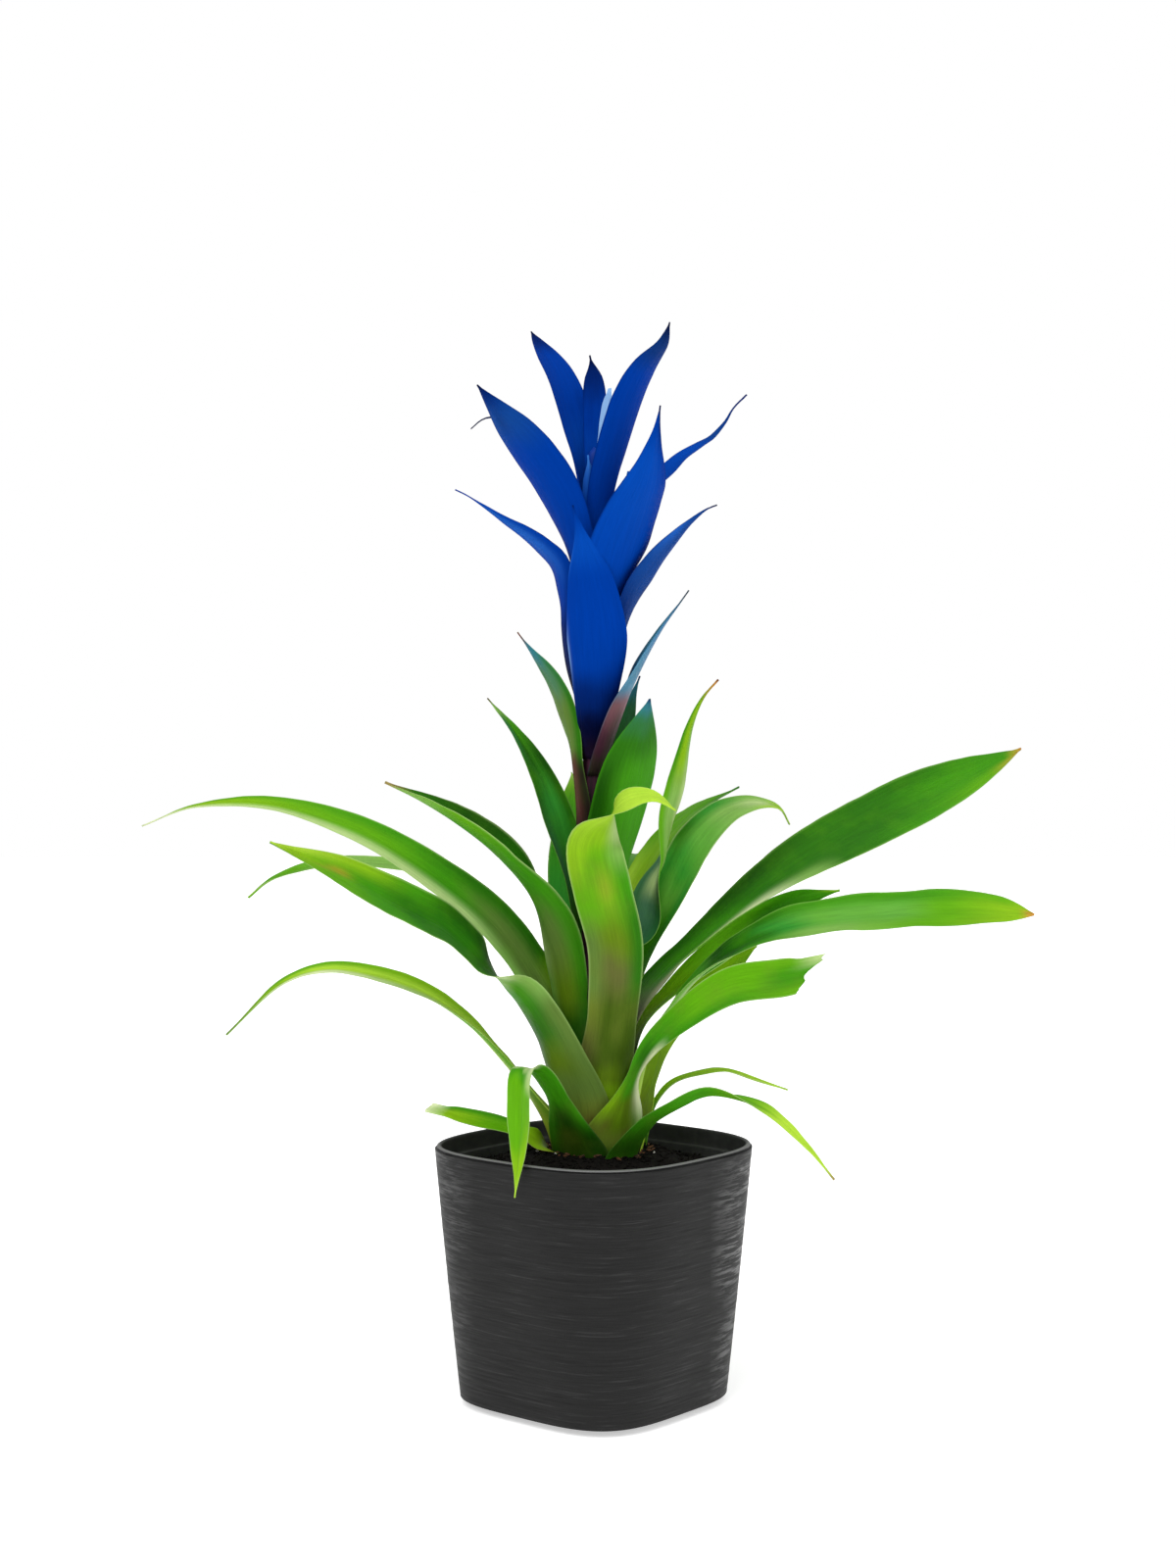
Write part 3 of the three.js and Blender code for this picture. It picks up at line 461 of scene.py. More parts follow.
        under="navy, 15 royal, 80 azure, 95 royal, ink", under_left="navy, 20 royal, 80 royal, ink"),
    bract_left_small=dict(both="navy, 50 indigo, ink"),
    bract_right_curly=dict(
        upper="navy, 35 royal, 58 azure, 70 azure, 80 indigo, navy",
        under="navy, 35 royal, 60 azure, 75 indigo, navy"),
    bract_top_right=dict(under="azure, 30 royal, 75 royal, 90 dusk, ink"),
    bract_top_left=dict(upper="40 azure, 60 royal, 85 royal, 95 navy, ink"),
    bract_top_middle=dict(
        upper="denim, 40 azure, 60 royal, 85 navy, ink", under="60 royal, 85 navy, ink"),
    petals_low=dict(upper="60 sky, ice", under="royal, 40 azure, 75 denim, sky", rim="denim"),
    petals_high=dict(both="sky, 60 ice", rim="ice"),
)


# Small tools
def mix(a, b, share):
    return a + (b - a) * share


def ease(x, start, end):
    """0 before start, 1 after end and a smooth rise between them."""
    x = min(max((x - start) / (end - start), 0), 1)
    return x * x * (3 - 2 * x)


def give(thing, **settings):
    """Sets properties of a thing and hands it back."""
    for name, value in settings.items():
        setattr(thing, name, value)
    return thing


def paint(name):
    """The linear colour of a paint of the palette, or of another hex code."""
    code = PALETTE.get(name, name)
    seen = Color([int(code[i:i + 2], 16) / 255 for i in (0, 2, 4)])
    return Vector(seen.from_srgb_to_scene_linear())


# Finishes
class Look:
    """The nodes of a procedural finish, or of the studio's sky, in the making."""

    def __init__(self, name, kind=bpy.data.materials):
        self.made = give(kind.new(name), use_nodes=True)
        self.nodes = self.made.node_tree.nodes

    def join(self, socket, value):
        """Gives an input its value, which may be the output of another node."""
        if isinstance(value, bpy.types.NodeSocket):
            self.made.node_tree.links.new(value, socket)
        elif socket.type == "RGBA":
            socket.default_value = (*value, 1)
        else:
            socket.default_value = value

    def add(self, kind, inputs, **settings):
        node = give(self.nodes.new(kind), **settings)
        self.fill(node, inputs)
        return node

    def fill(self, node, inputs):
        for name, value in inputs.items():
            self.join(node.inputs[name], value)

    def place(self):
        """The place on the piece itself, in metres."""
        return self.add("ShaderNodeTexCoord", {}).outputs["Object"]

    def painted(self, layer):
        """The colours painted on the piece's mesh."""
        return self.add("ShaderNodeAttribute", {}, attribute_name=layer).outputs["Color"]

    def side(self, axis):
        return self.add("ShaderNodeSeparateXYZ", {"Vector": self.place()}).outputs[axis]

    def reckon(self, operation, first, second):
        return self.add("ShaderNodeMath", {0: first, 1: second}, operation=operation).outputs["Value"]

    def blend(self, share, first, second, how="MIX"):
        inputs = {0: share, 6: first, 7: second}
        return self.add("ShaderNodeMix", inputs, data_type="RGBA", blend_type=how).outputs[2]

    def spread(self, value, low, high, to_low=0.0, to_high=1.0):
        """A value's range stretched to another, and clamped."""
        inputs = {"Value": value, "From Min": low, "From Max": high, "To Min": to_low, "To Max": to_high}
        return self.add("ShaderNodeMapRange", inputs).outputs["Result"]

    def two_tone(self, value, low, high, first, second):
        """The first paint where the value is low and the second where it is high."""
        return self.blend(self.spread(value, low, high), paint(first), paint(second))

    def grain(self, place, scale, stretch=(1, 1, 1), detail=3.0, roughness=0.55):
        """Noise over a place, drawn out along the axes whose stretch is small."""
        mapped = self.add("ShaderNodeMapping", {"Vector": place, "Scale": stretch}).outputs["Vector"]
        inputs = {"Vector": mapped, "Scale": scale, "Detail": detail, "Roughness": roughness}
        return self.add("ShaderNodeTexNoise", inputs).outputs["Fac"]

    def raise_by(self, height, distance, strength, over=None):
        """A bump's normal. distance is the relief's real height, in metres."""
        inputs = {"Height": height, "Distance": distance, "Strength": strength}
        if over is not None:
            inputs["Normal"] = over
        return self.add("ShaderNodeBump", inputs).outputs["Normal"]

    def wear(self, inputs):
        """Sets the surface's inputs. The result is the finished material."""
        self.fill(self.nodes["Principled BSDF"], inputs)
        return self.made


def blade_finish(name, face, contrast, gloss, mottle, mottle_share, glint, shine):
    """A leaf's or bract's skin: the colours painted on it, with bands, veins and soft mottling."""
    look = Look(name)
    colour = look.painted(face)
    across_and_along = look.add("ShaderNodeUVMap", {}, uv_map="blade").outputs["UV"]
    bands = look.grain(across_and_along, 1.0, (5, 0.22, 1), detail=2.0)
    veins = look.grain(across_and_along, 1.0, (15, 0.6, 1), detail=2.0)
    fine = look.grain(across_and_along, 1.0, (50, 1.2, 1), detail=1.0)
    for streaks in (bands, veins):
        shade = look.spread(streaks, 0.3, 0.7, 1 - contrast, 1 + contrast)
        colour = look.blend(1.0, colour, shade, "MULTIPLY")
    clouds = look.grain(look.place(), 55.0, detail=4.0)
    blotches = look.spread(clouds, 0.45, 0.75, 0.0, mottle_share)
    relief = look.raise_by(bands, 0.0006, 0.5)
    relief = look.raise_by(veins, 0.0003, 0.5, relief)
    return look.wear({
        "Base Color": look.blend(blotches, colour, paint(mottle)),
        "Roughness": look.spread(fine, 0.3, 0.7, gloss - 0.06, gloss + 0.1),
        "Normal": look.raise_by(fine, 0.00006, 0.4, relief),
        "Specular IOR Level": shine,
        "Specular Tint": glint})


def rim_finish(name):
    look = Look(name)
    return look.wear({"Base Color": look.painted("rim"), "Roughness": 0.5, "Specular IOR Level": 0.02})


def brushed_plastic():
    """Charcoal plastic combed round with a fine brush; pale painted reflections streak two corners."""
    look = Look("brushed charcoal plastic")
    body = look.place()
    combed = look.grain(body, 1.0, (40, 40, 2400), detail=4.0, roughness=0.65)
    strokes = look.grain(body, 1.0, (30, 30, 900), detail=5.0, roughness=0.7)
    glare_streaks = look.grain(body, 1.0, (45, 45, 480), detail=5.0, roughness=0.7)
    clouds = look.grain(body, 1.0, (14, 14, 30))
    tone = look.two_tone(combed, 0.3, 0.7, "161616", "202020")
    tone = look.blend(look.spread(strokes, 0.54, 0.66, 0.0, 0.6), tone, paint("0e0e0e"))
    tone = look.blend(look.spread(strokes, 0.44, 0.34, 0.0, 0.45), tone, paint("383838"))
    # Painted reflection: pale grey streaks at the pot's right corner, and fainter ones at its left
    # corner, stand in for light glancing off the brushed wall.
    right_glare = look.spread(look.side("X"), 0.06, 0.08)
    left_glare = look.spread(look.side("X"), -0.062, -0.078, 0.0, 0.3)
    painted_glare = look.reckon("ADD", right_glare, left_glare)
    painted_glare = look.reckon("MULTIPLY", painted_glare, look.spread(clouds, 0.35, 0.6))
    painted_glare = look.reckon("MULTIPLY", painted_glare, look.spread(glare_streaks, 0.47, 0.6))
    relief = look.raise_by(strokes, 0.0002, 0.4)
    return look.wear({
        "Base Color": look.blend(painted_glare, tone, paint("868686")),
        "Roughness": look.spread(strokes, 0.3, 0.7, 0.45, 0.62),
        "Normal": look.raise_by(combed, 0.0001, 0.4, relief),
        "Specular IOR Level": 0.16})


def smooth_plastic():
    look = Look("smooth charcoal plastic")
    dust = look.grain(look.place(), 180.0)
    return look.wear({
        "Base Color": look.two_tone(dust, 0.4, 0.7, "343434", "3e3e3e"),
        "Roughness": look.spread(dust, 0.3, 0.7, 0.34, 0.46),
        "Specular IOR Level": 0.25})


# The pot's top edge in pale grey: a painted highlight of the light along the rounded rim.
def rim_highlight_finish():
    return Look("painted rim highlight").wear({"Base Color": paint("6c6c6c"), "Roughness": 0.4})


def peat():
    look = Look("damp peat")
    crumbs = look.grain(look.place(), 420.0, detail=6.0, roughness=0.7)
    clods = look.grain(look.place(), 90.0, detail=4.0)
    tone = look.two_tone(crumbs, 0.35, 0.7, "0a0908", "1b1714")
    return look.wear({
        "Base Color": look.blend(look.spread(clods, 0.4, 0.7, 0.0, 0.5), tone, paint("100e0c")),
        "Roughness": 0.95,
        "Normal": look.raise_by(crumbs, 0.0015, 0.8),
        "Specular IOR Level": 0.1})


def bark_finish():
    look = Look("bark chips")
    fibres = look.grain(look.place(), 260.0, (1, 0.25, 1), detail=5.0)
    return look.wear({
        "Base Color": look.two_tone(fibres, 0.3, 0.7, "23140b", "6a4220"),
        "Roughness": 0.9,
        "Normal": look.raise_by(fibres, 0.0006, 0.8)})


def grit_finish():
    look = Look("white grit")
    pores = look.grain(look.place(), 900.0, detail=4.0)
    tone = look.two_tone(pores, 0.4, 0.6, "b9b5ac", "efeee8")
    return look.wear({"Base Color": tone, "Roughness": 0.85})


def stem_finish():
    """Wine red at the foot of the stem, and dark blue and then blue among the bracts."""
    look = Look("burgundy stem")
    fibres = look.grain(look.place(), 1.0, (600, 600, 20))
    tone = look.two_tone(fibres, 0.35, 0.65, "plum", "wine")
    tone = look.blend(look.spread(look.side("Z"), 0.34, 0.37), tone, paint("ink"))
    return look.wear({
        "Base Color": look.blend(look.spread(look.side("Z"), 0.37, 0.41), tone, paint("royal")),
        "Roughness": 0.55,
        "Normal": look.raise_by(fibres, 0.0003, 0.5),
        "Specular IOR Level": 0.16})


# The stem's and the blades' shapes
def stem_x(z):
    leaning = mix(CROWN_X, STEM_LEAN_X, ease(z, LEAN_START, LEAN_MOST))
    return leaning - STEM_LEAN_X * ease(z, LEAN_MOST, LEAN_END)


def stem_radius(z):
    for (low, wide), (high, narrow) in zip(STEM_OUTLINE, STEM_OUTLINE[1:]):
        if z <= high:
            return mix(wide, narrow, max(z - low, 0) / (high - low))


def centripetal(p0, p1, p2, p3, share):
    """A point between p1 and p2 on the centripetal Catmull-Rom curve through the four."""
    gaps = [max(math.sqrt((b - a).length), 1e-4) for a, b in ((p0, p1), (p1, p2), (p2, p3))]
    leave = (p1 - p0) / gaps[0] - (p2 - p0) / (gaps[0] + gaps[1]) + (p2 - p1) / gaps[1]
    arrive = (p2 - p1) / gaps[1] - (p3 - p1) / (gaps[1] + gaps[2]) + (p3 - p2) / gaps[2]
    leave *= gaps[1]
    arrive *= gaps[1]
    bend = -3 * p1 + 3 * p2 - 2 * leave - arrive
    curl = 2 * p1 - 2 * p2 + leave + arrive
    return p1 + leave * share + bend * share ** 2 + curl * share ** 3


def even_line(points, count, steps=24):
    """Evenly spaced points on the smooth curve through some points, and its length."""
    ends = [2 * points[0] - points[1], *points, 2 * points[-1] - points[-2]]
    fine = [centripetal(*ends[i:i + 4], k / steps) for i in range(len(points) - 1) for k in range(steps)]
    fine.append(points[-1])
    run = [0.0]
    for a, b in zip(fine, fine[1:]):
        run.append(run[-1] + (b - a).length)
    line = []
    at = 0
    for k in range(count + 1):
        wanted = run[-1] * k / count
        while at < len(run) - 2 and run[at + 1] < wanted:
            at += 1
        line.append(fine[at].lerp(fine[at + 1], (wanted - run[at]) / max(run[at + 1] - run[at], 1e-9)))
    return line, run[-1]


class Blade:
    """The middle surface of a leaf, bract or petal: s runs from foot to tip and t from edge to edge."""

    def __init__(self, habit, start, axis_x, seed):
        self.habit = habit
        self.axis_x = axis_x
        self.seed = seed
        turn = math.radians(habit["turn"])
        out = Vector((math.cos(turn), math.sin(turn), 0))
        across = Vector((-math.sin(turn), math.cos(turn), 0))
        points = []
        for reach, height, *drift in [start, *habit["path"]]:
            points.append(Vector((axis_x, 0, height)) + out * reach + across * sum(drift))
        line, self.length = even_line(points, STATIONS)
        self.stations = []
        side = across
        for i, point in enumerate(line):
            along = (line[min(i + 1, STATIONS)] - line[max(i - 1, 0)]).normalized()
            side = (side - along * side.dot(along)).normalized()
            inner = along.cross(side)
            share = ease(i / STATIONS, habit["roll_from"], habit["roll_to"])
            roll = math.radians(mix(habit["roll_start"], habit["roll"], share))
            rolled_side = side * math.cos(roll) + inner * math.sin(roll)
            rolled_inner = inner * math.cos(roll) - side * math.sin(roll)
            self.stations.append((point, along, rolled_side, rolled_inner))

    def half_width(self, s):
        """The sheath narrows into the blade, which runs out to its tip past its widest place."""
        h = self.habit
        blade = h["wide"] / 2
        sheath = (h["clasp"] - blade * h["waist"]) * (1 - ease(s, 0, h["sheath_end"]))
        if s < h["widest"]:
            return (sheath + blade * mix(h["waist"], 1, ease(s, 0, h["widest"]))) * self.pinched(s)
        to_tip = (s - h["widest"]) / (1 - h["widest"])
        drawn_out = 1 - h["point"] * ease(to_tip, 0.45, 1)
        return (sheath + max(blade * (1 - to_tip ** h["taper"]) * drawn_out, h["tip"])) * self.pinched(s)

    def pinched(self, s):
        """The share of its width that a blade keeps where it is pinched."""
        if not self.habit["pinch"]:
            return 1
        place, length, depth = self.habit["pinch"]
        return 1 - depth * math.exp(-((s - place) / length) ** 2)

    def cut_back(self, s, t):
        """Where a point lies on a blade whose end is cut off on a slant, with a ragged edge."""
        cut = self.habit["cut"]
        if not cut:
            return s
        ragged = 0.18 * noise.noise(Vector((t * 2.5, self.seed, 0.5)))
        ragged += 0.08 * noise.noise(Vector((t * 11, 0, 1)))
        short_side = (1 - t) / 2 if cut > 0 else (1 + t) / 2
        return s * (1 - abs(cut) * (short_side + ragged))

    def relief(self, s, t, free):
        """How far the skin is off the plain trough: the midrib's groove, soft lumps, rippled edges."""
        h = self.habit
        groove = -h["groove"] * math.exp(-((t / GROOVE_WIDTH) ** 2)) * (1 - ease(s, 0.85, 1))
        lump_place = Vector((s * self.length / LUMP_LENGTH, t * 1.1, self.seed * 7.3))
        ripple_place = Vector((s * self.length / RIPPLE_LENGTH, math.copysign(3, t), self.seed * 3.1))
        lumps = h["lumps"] * noise.noise(lump_place) * free
        ripple = h["ripple"] * noise.noise(ripple_place) * abs(t) ** 3 * free
        return groove + lumps + ripple

    def at(self, s, t):
        """A point of the surface, wrapped round the axis at the sheath and free of it further up."""
        h = self.habit
        s = self.cut_back(s, t)
        station = min(max(s, 0), 1) * STATIONS
        i = min(int(station), STATIONS - 1)
        point, along, side, inner = [
            a.lerp(b, station - i) for a, b in zip(self.stations[i], self.stations[i + 1])]
        half = self.half_width(s)
        reach = max(math.hypot(point.x - self.axis_x, point.y), 1)
        hugging = 1 - ease(s, h["hug"] * CLASPED_SHARE, h["hug"])
        around = half * max(abs(along.normalized().z), LEAST_UPRIGHT) / reach
        trough = math.radians(mix(h["trough"], h["trough_tip"], s))
        fold = max(mix(trough, min(around, DEEPEST_FOLD), hugging), 0.02)
        wave = h["wave"] * math.sin(s * self.length * WAVE_RATE + t * 2) * t * t * ease(s, 0.3, 0.5)
        lift = half / fold * (1 - math.cos(fold * t)) + wave + self.relief(s, t, 1 - hugging)
        free = point + side * (half / fold * math.sin(fold * t)) + inner * lift
        azimuth = math.atan2(point.y, point.x - self.axis_x) + half * t / reach
        wrapped = Vector((self.axis_x + reach * math.cos(azimuth), reach * math.sin(azimuth), point.z))
        return free.lerp(wrapped, hugging)


# The blades' colours
def read_stops(text):
    """The places, as shares of the length, and the colours in a list of paints."""
    stops = []
    for entry in text.split(", ") if text else []:
        *place, name = entry.split()
        plain_place = 1 if stops else 0
        stops.append((float(place[0]) / 100 if place else plain_place, paint(name)))
    return stops


def read_colours(plain, own):
    """A blade's colours, ready to paint with: its own ones, and the plain ones for what it leaves out."""
    colours = {}
    for part, value in [*plain.items(), *own.items()]:
        if part == "rim":
            colours[part] = paint(value)
        elif part == "marks":
            colours[part] = [(*mark[:4], paint(mark[4]), mark[5]) for mark in value]
        else:
            for face in ("upper", "under") if part == "both" else (part,):
                colours[face] = read_stops(value)
    return colours


def along_colours(stops, s):
    for (start, first), (end, second) in zip(stops, stops[1:]):
        if s <= end:
            return first.lerp(second, ease(s, start, end))
    return stops[-1][1]


def margin_share(s):
    """How far a margin keeps its own pale colour: hardly at all on the sheath, and more past it."""
    return 0.08 + 0.52 * ease(s, 0.12, 0.5)


def face_colour(colours, face, s, t, seed):
    """The paint of one face of a blade, a little uneven, with a thin pale margin."""
    wander = 0.05 * noise.noise(Vector((s * 5, t * 1.5, seed * 5.7)))
    colour = along_colours(colours[face], min(max(s + wander * math.sin(math.pi * s), 0), 1))
    edge = colours.get(face + ("_left" if t > 0 else "_right")) or colours.get(face + "_edges")
    if edge:
        colour = colour.lerp(along_colours(edge, s), ease(abs(t), MIDDLE_PAINT, EDGE_PAINT))
    for mark_s, mark_t, length, width, mark, strength in colours.get("marks", []):
        off = ((s - mark_s) / length) ** 2 + ((t - mark_t) / width) ** 2
        colour = colour.lerp(mark, strength * math.exp(-off))
    return colour.lerp(colours["rim"], margin_share(s) * ease(abs(t), RIM_PAINT, 1))


# Pieces
def keep(name, bm, finishes, smooth=True):
    """Makes the finished piece from its mesh, which is in millimetres until here."""
    bmesh.ops.scale(bm, vec=(MM, MM, MM), verts=bm.verts)
    mesh = bpy.data.meshes.new(name)
    bm.to_mesh(mesh)
    bm.free()
    for finish in finishes:
        mesh.materials.append(finish)
    for face in mesh.polygons:
        face.use_smooth = smooth
    return link(name, mesh)


def link(name, data):
    made = bpy.data.objects.new(name, data)
    bpy.context.scene.collection.objects.link(made)
    return made


def stand_for(piece, node):
    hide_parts(node)
    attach(piece, "root")


def make_blade(node, blade, colours, thickness, finishes):
    """One blade: an even sheet, laid on the blade's surface and painted, and thickened from there."""
    bm = bmesh.new()
    uv = bm.loops.layers.uv.new("blade")
    layers = {name: bm.verts.layers.float_color.new(name) for name in ("upper", "under", "rim")}
    body = bm.verts.layers.deform.verify()
    columns = COLUMNS if blade.habit["wide"] > NARROW else NARROW_COLUMNS
    rows = max(round(blade.length / ROW_LENGTH), FEWEST_ROWS)
    bmesh.ops.create_grid(bm, x_segments=columns, y_segments=rows, size=0.5, calc_uvs=True)
    bmesh.ops.reverse_faces(bm, faces=bm.faces)
    half_wide = blade.habit["wide"] / 2
    for vert in bm.verts:
        s = vert.co.y + 0.5
        t = math.sin(math.pi * min(max(vert.co.x, -0.5), 0.5))
        for loop in vert.link_loops:
            loop[uv].uv = (t * half_wide / UV_UNIT, s * blade.length / UV_UNIT)
        for face in ("upper", "under"):
            vert[layers[face]] = (*face_colour(colours, face, s, t, blade.seed), 1)
        margin = along_colours(colours["under"], s).lerp(colours["rim"], margin_share(s))
        vert[layers["rim"]] = (*margin, 1)
        vert[body][0] = 1 - 0.7 * ease(abs(t), 0.5, 1) - 0.2 * ease(s, 0.6, 1)
        vert.co = blade.at(s, t)
    piece = keep(node + "_blade", bm, finishes)
    piece.vertex_groups.new(name="body")
    skin = piece.modifiers.new("thickness", "SOLIDIFY")
    give(skin, thickness=thickness * MM, offset=0, vertex_group="body")
    give(skin, material_offset=1, material_offset_rim=2)
    stand_for(piece, node)


def make_leaves():
    upper = blade_finish("leaf upper face", "upper", 0.08, 0.36, "grass", 0.2, GREEN_GLINT, 0.12)
    under = blade_finish("leaf underside", "under", 0.07, 0.46, "olive", 0.25, GREEN_GLINT, 0.12)
    rim = rim_finish("leaf margin")
    for seed, (node, shape) in enumerate(ROSETTE.items()):
        habit = dict(LEAF_HABIT, **shape)
        start = (stem_radius(habit["foot"]) + LEAF_GAP + FIT, habit["foot"])
        habit["clasp"] = min(habit["clasp"], start[0] * WIDEST_SHEATH)
        blade = Blade(habit, start, CROWN_X, seed)
        colours = read_colours(LEAF_COLOURS, COLOURS.get(node, {}))
        make_blade(node, blade, colours, LEAF_THICKNESS, [upper, under, rim])


def make_spike():
    blue = [blade_finish("bract upper face", "upper", 0.05, 0.55, "royal", 0.15, BLUE_GLINT, 0.03),
            blade_finish("bract outer face", "under", 0.05, 0.55, "royal", 0.15, BLUE_GLINT, 0.03)]
    green = [blade_finish("stem leaf upper face", "upper", 0.08, 0.4, "deep", 0.12, GREEN_GLINT, 0.12),
             blade_finish("stem leaf outer face", "under", 0.08, 0.44, "deep", 0.12, GREEN_GLINT, 0.12)]
    rim = rim_finish("bract margin")
    for seed, (node, shape) in enumerate(SPIKE.items(), start=FIRST_BRACT_SEED):
        habit = dict(BRACT_HABIT, **shape)
        start = (stem_radius(habit["foot"]) + BRACT_GAP + FIT, habit["foot"])
        blade = Blade(habit, start, stem_x(habit["foot"]), seed)
        kind = node.split("_")[0]
        finishes = [*(green if kind == "stem" else blue), rim]
        colours = read_colours(BRACT_COLOURS, COLOURS.get(node, {}))
        make_blade(node, blade, colours, BRACT_THICKNESS, finishes)


def rounded(profile, steps=6):
    """A profile of (radius, height, rounding) with an arc at each corner that has a rounding."""
    points = []
    for i, (r, z, rounding) in enumerate(profile):
        corner = Vector((r, z))
        if not rounding:
            points.append(corner)
            continue
        before = (Vector(profile[i - 1][:2]) - corner).normalized()
        after = (Vector(profile[i + 1][:2]) - corner).normalized()
        half_angle = before.angle(after) / 2
        reach = rounding / math.tan(half_angle)
        centre = corner + (before + after).normalized() * rounding / math.sin(half_angle)
        first = corner + before * reach - centre
        last = corner + after * reach - centre
        for k in range(steps + 1):
            points.append(centre + first.slerp(last, k / steps))
    return points


def turned(points, steps):
    """A surface of revolution about Z from a profile of (radius, height)."""
    bm = bmesh.new()
    verts = [bm.verts.new((point[0], 0, point[1])) for point in points]
    edges = [bm.edges.new(pair) for pair in zip(verts, verts[1:])]
    bmesh.ops.spin(bm, geom=[*verts, *edges], axis=(0, 0, 1), cent=(0, 0, 0), steps=steps,
                   angle=math.tau, use_merge=True)
    bmesh.ops.remove_doubles(bm, verts=bm.verts, dist=0.001)
    bmesh.ops.recalc_face_normals(bm, faces=bm.faces)
    return bm


def pot_half(z):
    return mix(FOOT_HALF, RIM_HALF, z / POT_HEIGHT)


def squircle(azimuth, squareness):
    """How far a square with very round corners reaches on one bearing, as a share of its half width."""
    a = azimuth - POT_TURN + math.pi / 4
    return (abs(math.cos(a)) ** squareness + abs(math.sin(a)) ** squareness) ** (-1 / squareness)


def to_pot_plan(co, share=1):
    """Moves a point of a round form to where it lies in the pot's square plan."""
    squareness = mix(FOOT_SQUARENESS, RIM_SQUARENESS, min(max(co.z / POT_HEIGHT, 0), 1))
    k = mix(1, squircle(math.atan2(co.y, co.x), squareness), share)
    co.x *= k
    co.y *= k


def subdivide_profile(points, longest):
    """The same profile with its long stretches cut into steps no longer than longest."""
    out = [points[0]]
    for a, b in zip(points, points[1:]):
        cuts = max(math.ceil((b - a).length / longest), 1)
        out.extend(a.lerp(b, k / cuts) for k in range(1, cuts + 1))
    return out


def make_pot():
    lip_low = POT_HEIGHT - LIP_DEPTH
    ledge = POT_HEIGHT - INNER_LEDGE
    wall = [(0, 0, 0), (FOOT_HALF - 0.4, 0, FOOT_ROUND), (pot_half(lip_low), lip_low, 0.3),
            (pot_half(lip_low), lip_low + 0.5, 0.25),
            (RIM_HALF, POT_HEIGHT, 1.1), (RIM_HALF - WALL, POT_HEIGHT, 0.9),
            (pot_half(ledge) - WALL, ledge, 0.4), (pot_half(ledge) - INNER_SETBACK, ledge - 1, 0.4),
            (pot_half(FLOOR) - INNER_SETBACK, FLOOR, 3), (0, FLOOR, 0)]
    bm = turned(subdivide_profile(rounded(wall), POT_STEP_HEIGHT), POT_STEPS)
    for vert in bm.verts:
        to_pot_plan(vert.co)
    for face in bm.faces:
        centre = face.calc_center_median()
        outside = face.normal.dot(Vector((centre.x, centre.y, 0))) > 0
        face.material_index = 0 if outside else 1
        # The faces along the very top of the outer rim take the painted rim highlight.
        if outside and centre.z > POT_HEIGHT - LIP_GLEAM:
            face.material_index = 2
    comb_the_wall(bm, FOOT_ROUND + 1, lip_low - 1)
    pot = keep("planter", bm, [brushed_plastic(), smooth_plastic(), rim_highlight_finish()])
    stand_for(pot, "pot")


def comb_the_wall(bm, low, high):
    """Fine level grooves on the outside of the pot."""
    combed = [vert for vert in bm.verts
              if low < vert.co.z < high and vert.normal.dot(Vector((vert.co.x, vert.co.y, 0))) > 0]
    for vert in combed:
        streak = noise.noise(Vector((vert.co.x / 24, vert.co.y / 24, vert.co.z / 1.9)))
        vert.co += Vector((vert.co.x, vert.co.y, 0)).normalized() * COMB_DEPTH * streak


def make_stem():
    points = [(0, CROWN_FOOT), (CROWN_RADIUS - 6, CROWN_FOOT), (CROWN_RADIUS, CROWN_FOOT + 6)]
    points += [(stem_radius(z), z) for z in STEM_LEVELS]
    points.append((0, STEM_TOP + 4))
    bm = turned(points, STEM_STEPS)
    for vert in bm.verts:
        vert.co.x += stem_x(vert.co.z)
    stem = keep("flower_stem", bm, [stem_finish()])
    stand_for(stem, "crown_and_stem")


def soil_height(x, y):
    """The mix's crumbly top at a place in the pot."""
    height = mix(SOIL_AT_CROWN, SOIL_AT_WALL, ease(math.hypot(x, y), MOUND_TOP, MOUND_FOOT))
    height += 1.6 * noise.noise(Vector((x / 13, y / 13, 2.7)))
    return height + 0.9 * noise.noise(Vector((x / 4.5, y / 4.5, 8.1)))


def make_mix():
    inside = pot_half(SOIL_AT_WALL) - INNER_SETBACK - 1
    points = [(0, SOIL_AT_CROWN)]
    points += [(r, SOIL_AT_WALL) for r in range(4, int(inside), 2)]
    points += [(inside - 0.6, SOIL_AT_WALL), (inside, SOIL_AT_WALL - 2), (inside - 2, SOIL_AT_WALL - 30)]
    points += [(FOOT_HALF - INNER_SETBACK - 4, FLOOR + 0.4), (0, FLOOR + 0.4)]
    bm = turned(points, SOIL_STEPS)
    for vert in bm.verts:
        r = math.hypot(vert.co.x, vert.co.y)
        top = vert.co.z >= SOIL_AT_WALL
        to_pot_plan(vert.co, ease(r, ROUND_PLAN, SQUARE_PLAN))
        if top:
            vert.co.z = soil_height(vert.co.x, vert.co.y) - 0.6 * ease(r, inside - 4, inside)
    mix_piece = keep("peat_mix", bm, [peat()])
    stand_for(mix_piece, "potting_mix")


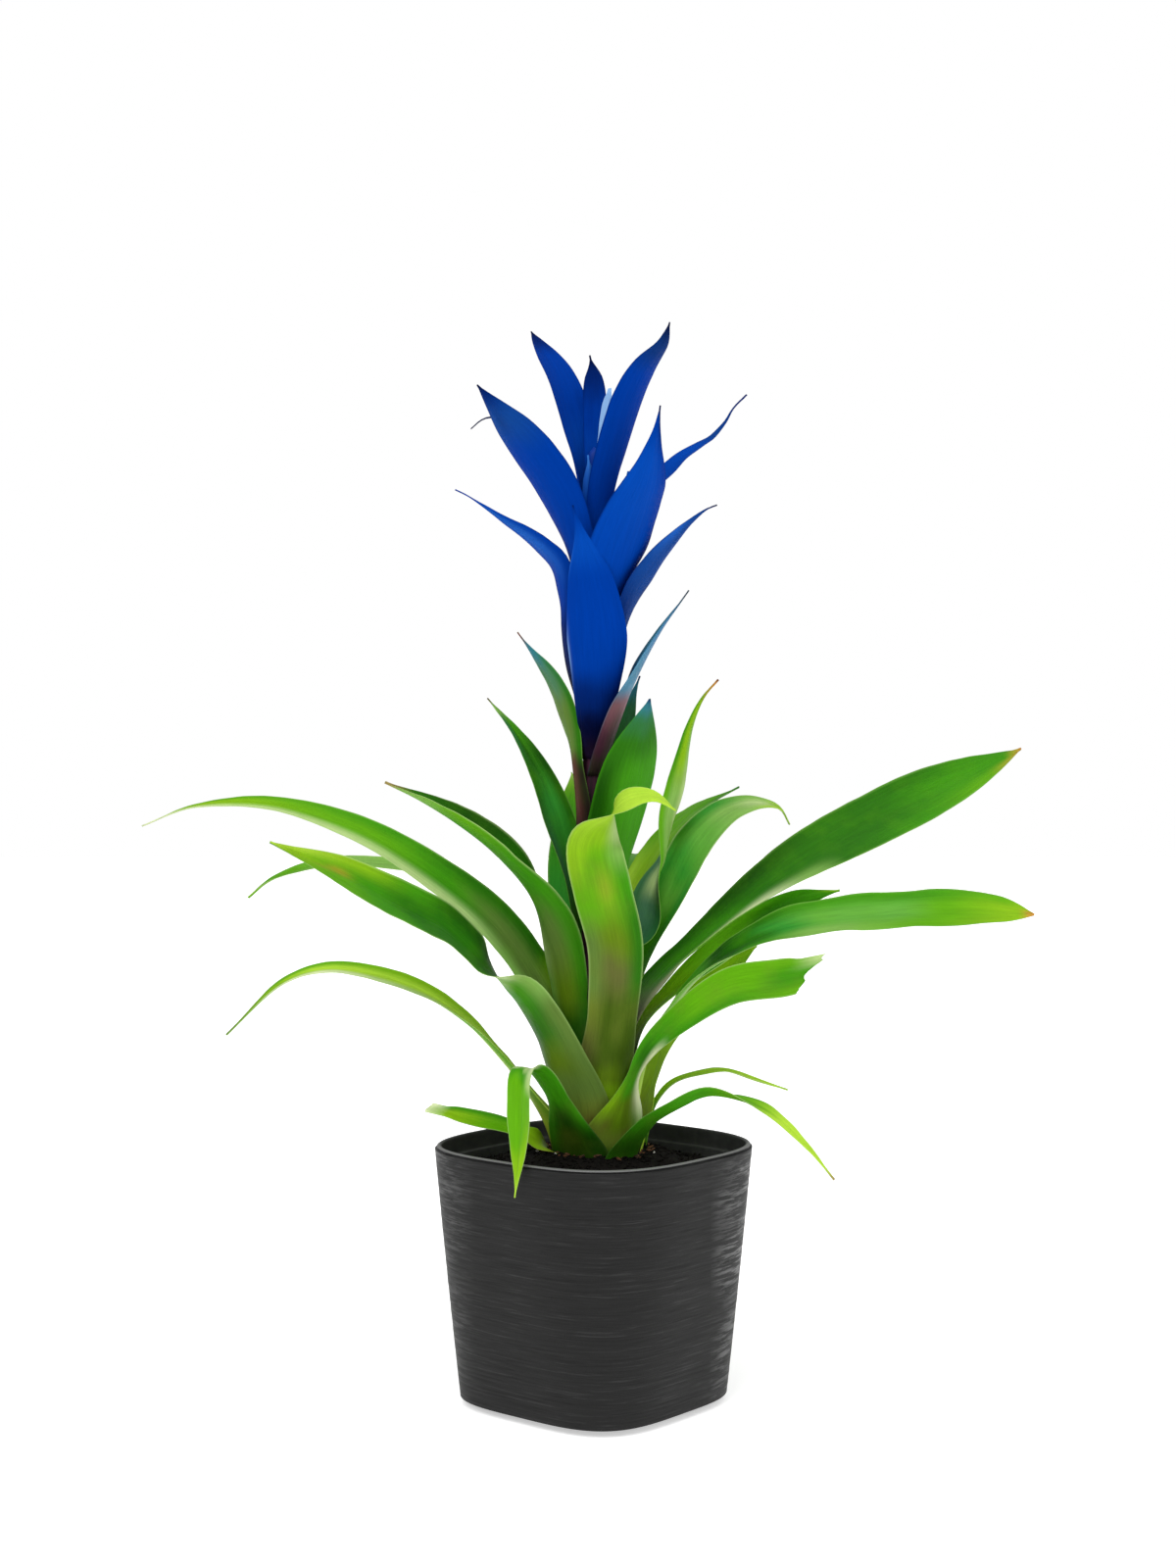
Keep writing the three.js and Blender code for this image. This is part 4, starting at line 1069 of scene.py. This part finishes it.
def add_grain(bm, place, size, squash, subdivisions, rng):
    """One rough grain: an uneven ball, drawn out and squashed."""
    made = bmesh.ops.create_icosphere(bm, subdivisions=subdivisions, radius=size / 2)["verts"]
    for vert in made:
        vert.co *= 1 + rng.uniform(-UNEVENNESS, UNEVENNESS)
    stretch = (rng.uniform(0.8, 1.5), rng.uniform(0.5, 0.9), squash)
    turn = Matrix.Rotation(rng.uniform(0, math.tau), 3, "Z")
    lean = Matrix.Rotation(rng.uniform(-0.6, 0.6), 3, "X")
    lean = lean @ Matrix.Rotation(rng.uniform(-0.6, 0.6), 3, "Y")
    bmesh.ops.scale(bm, vec=stretch, verts=made)
    bmesh.ops.rotate(bm, cent=(0, 0, 0), matrix=turn @ lean, verts=made)
    bmesh.ops.translate(bm, vec=place, verts=made)


def scatter(name, count, sizes, squash, reach, finish, rng, subdivisions=1):
    """Grains of one kind over the mix, most of them near the plant, made a handful at a time."""
    heap = bmesh.new()
    handful = bpy.data.meshes.new("handful")
    for first in range(0, count, HANDFUL):
        bm = bmesh.new()
        for _ in range(min(HANDFUL, count - first)):
            turn = rng.uniform(0, math.tau)
            r = mix(*reach, rng.random() ** 1.3)
            place = Vector((CROWN_X * 0.5 + r * math.cos(turn), r * math.sin(turn), POT_HEIGHT))
            to_pot_plan(place, ease(r, ROUND_PLAN, SQUARE_PLAN))
            size = rng.uniform(*sizes)
            place.z = soil_height(place.x, place.y) + size * squash * 0.25
            add_grain(bm, place, size, squash, subdivisions, rng)
        bm.to_mesh(handful)
        bm.free()
        heap.from_mesh(handful)
    bpy.data.meshes.remove(handful)
    grains = keep(name, heap, [finish], smooth=False)
    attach(grains, "root")


def dress_the_mix():
    rng = random.Random(5)
    scatter("peat_crumbs", 1400, (0.9, 2.6), 0.6, (26, 70), peat(), rng)
    scatter("bark_chips", 70, (1.2, 3.4), 0.5, (25, 31), bark_finish(), rng, subdivisions=2)
    scatter("grit", 8, (0.8, 1.6), 0.8, (26, 60), grit_finish(), rng, subdivisions=2)


# The studio
def make_floor():
    bm = bmesh.new()
    bmesh.ops.create_grid(bm, x_segments=1, y_segments=1, size=FLOOR_HALF / MM)
    material = Look("studio floor").wear({
        "Base Color": (0.96, 0.96, 0.96),
        "Roughness": 0.9,
        "Emission Color": (1, 1, 1),
        "Emission Strength": 0.5})
    floor = keep("studio_floor", bm, [material], smooth=False)


def add_sun(name, azimuth, height, strength, softness):
    """A wide soft light from far off. azimuth 0 is the camera's side and 90 is the right."""
    data = give(bpy.data.lights.new(name, "SUN"), energy=strength, angle=math.radians(softness))
    give(link(name, data), rotation_euler=(math.radians(90 - height), 0, math.radians(azimuth)))


def light_the_studio():
    """Three soft lights, a dim white sky that lights the part, and a bright one that the camera sees."""
    add_sun("key", -32, 46, 1.25, 40)
    add_sun("fill", 42, 30, 0.75, 60)
    add_sun("top", 10, 80, 0.6, 50)
    sky = Look("white studio", bpy.data.worlds)
    white = {"Color": (1, 1, 1)}
    lit = sky.add("ShaderNodeBackground", {**white, "Strength": SKY_STRENGTH}).outputs["Background"]
    backdrop = sky.add("ShaderNodeBackground", {**white, "Strength": 1}).outputs["Background"]
    by_camera = sky.add("ShaderNodeLightPath", {}).outputs["Is Camera Ray"]
    either = sky.add("ShaderNodeMixShader", {"Fac": by_camera, 1: lit, 2: backdrop}).outputs["Shader"]
    sky.fill(sky.nodes["World Output"], {"Surface": either})
    bpy.context.scene.world = sky.made
    bpy.context.scene.view_settings.view_transform = "Standard"


def make_camera():
    data = give(bpy.data.cameras.new("camera"), lens=CAMERA_LENS, sensor_width=CAMERA_SENSOR)
    camera = link("camera", data)
    give(camera, location=CAMERA_PLACE, rotation_euler=(math.radians(90 - CAMERA_DIP), 0, 0))
    bpy.context.scene.camera = camera


make_pot()
make_mix()
dress_the_mix()
make_stem()
make_leaves()
make_spike()
make_floor()
light_the_studio()
make_camera()
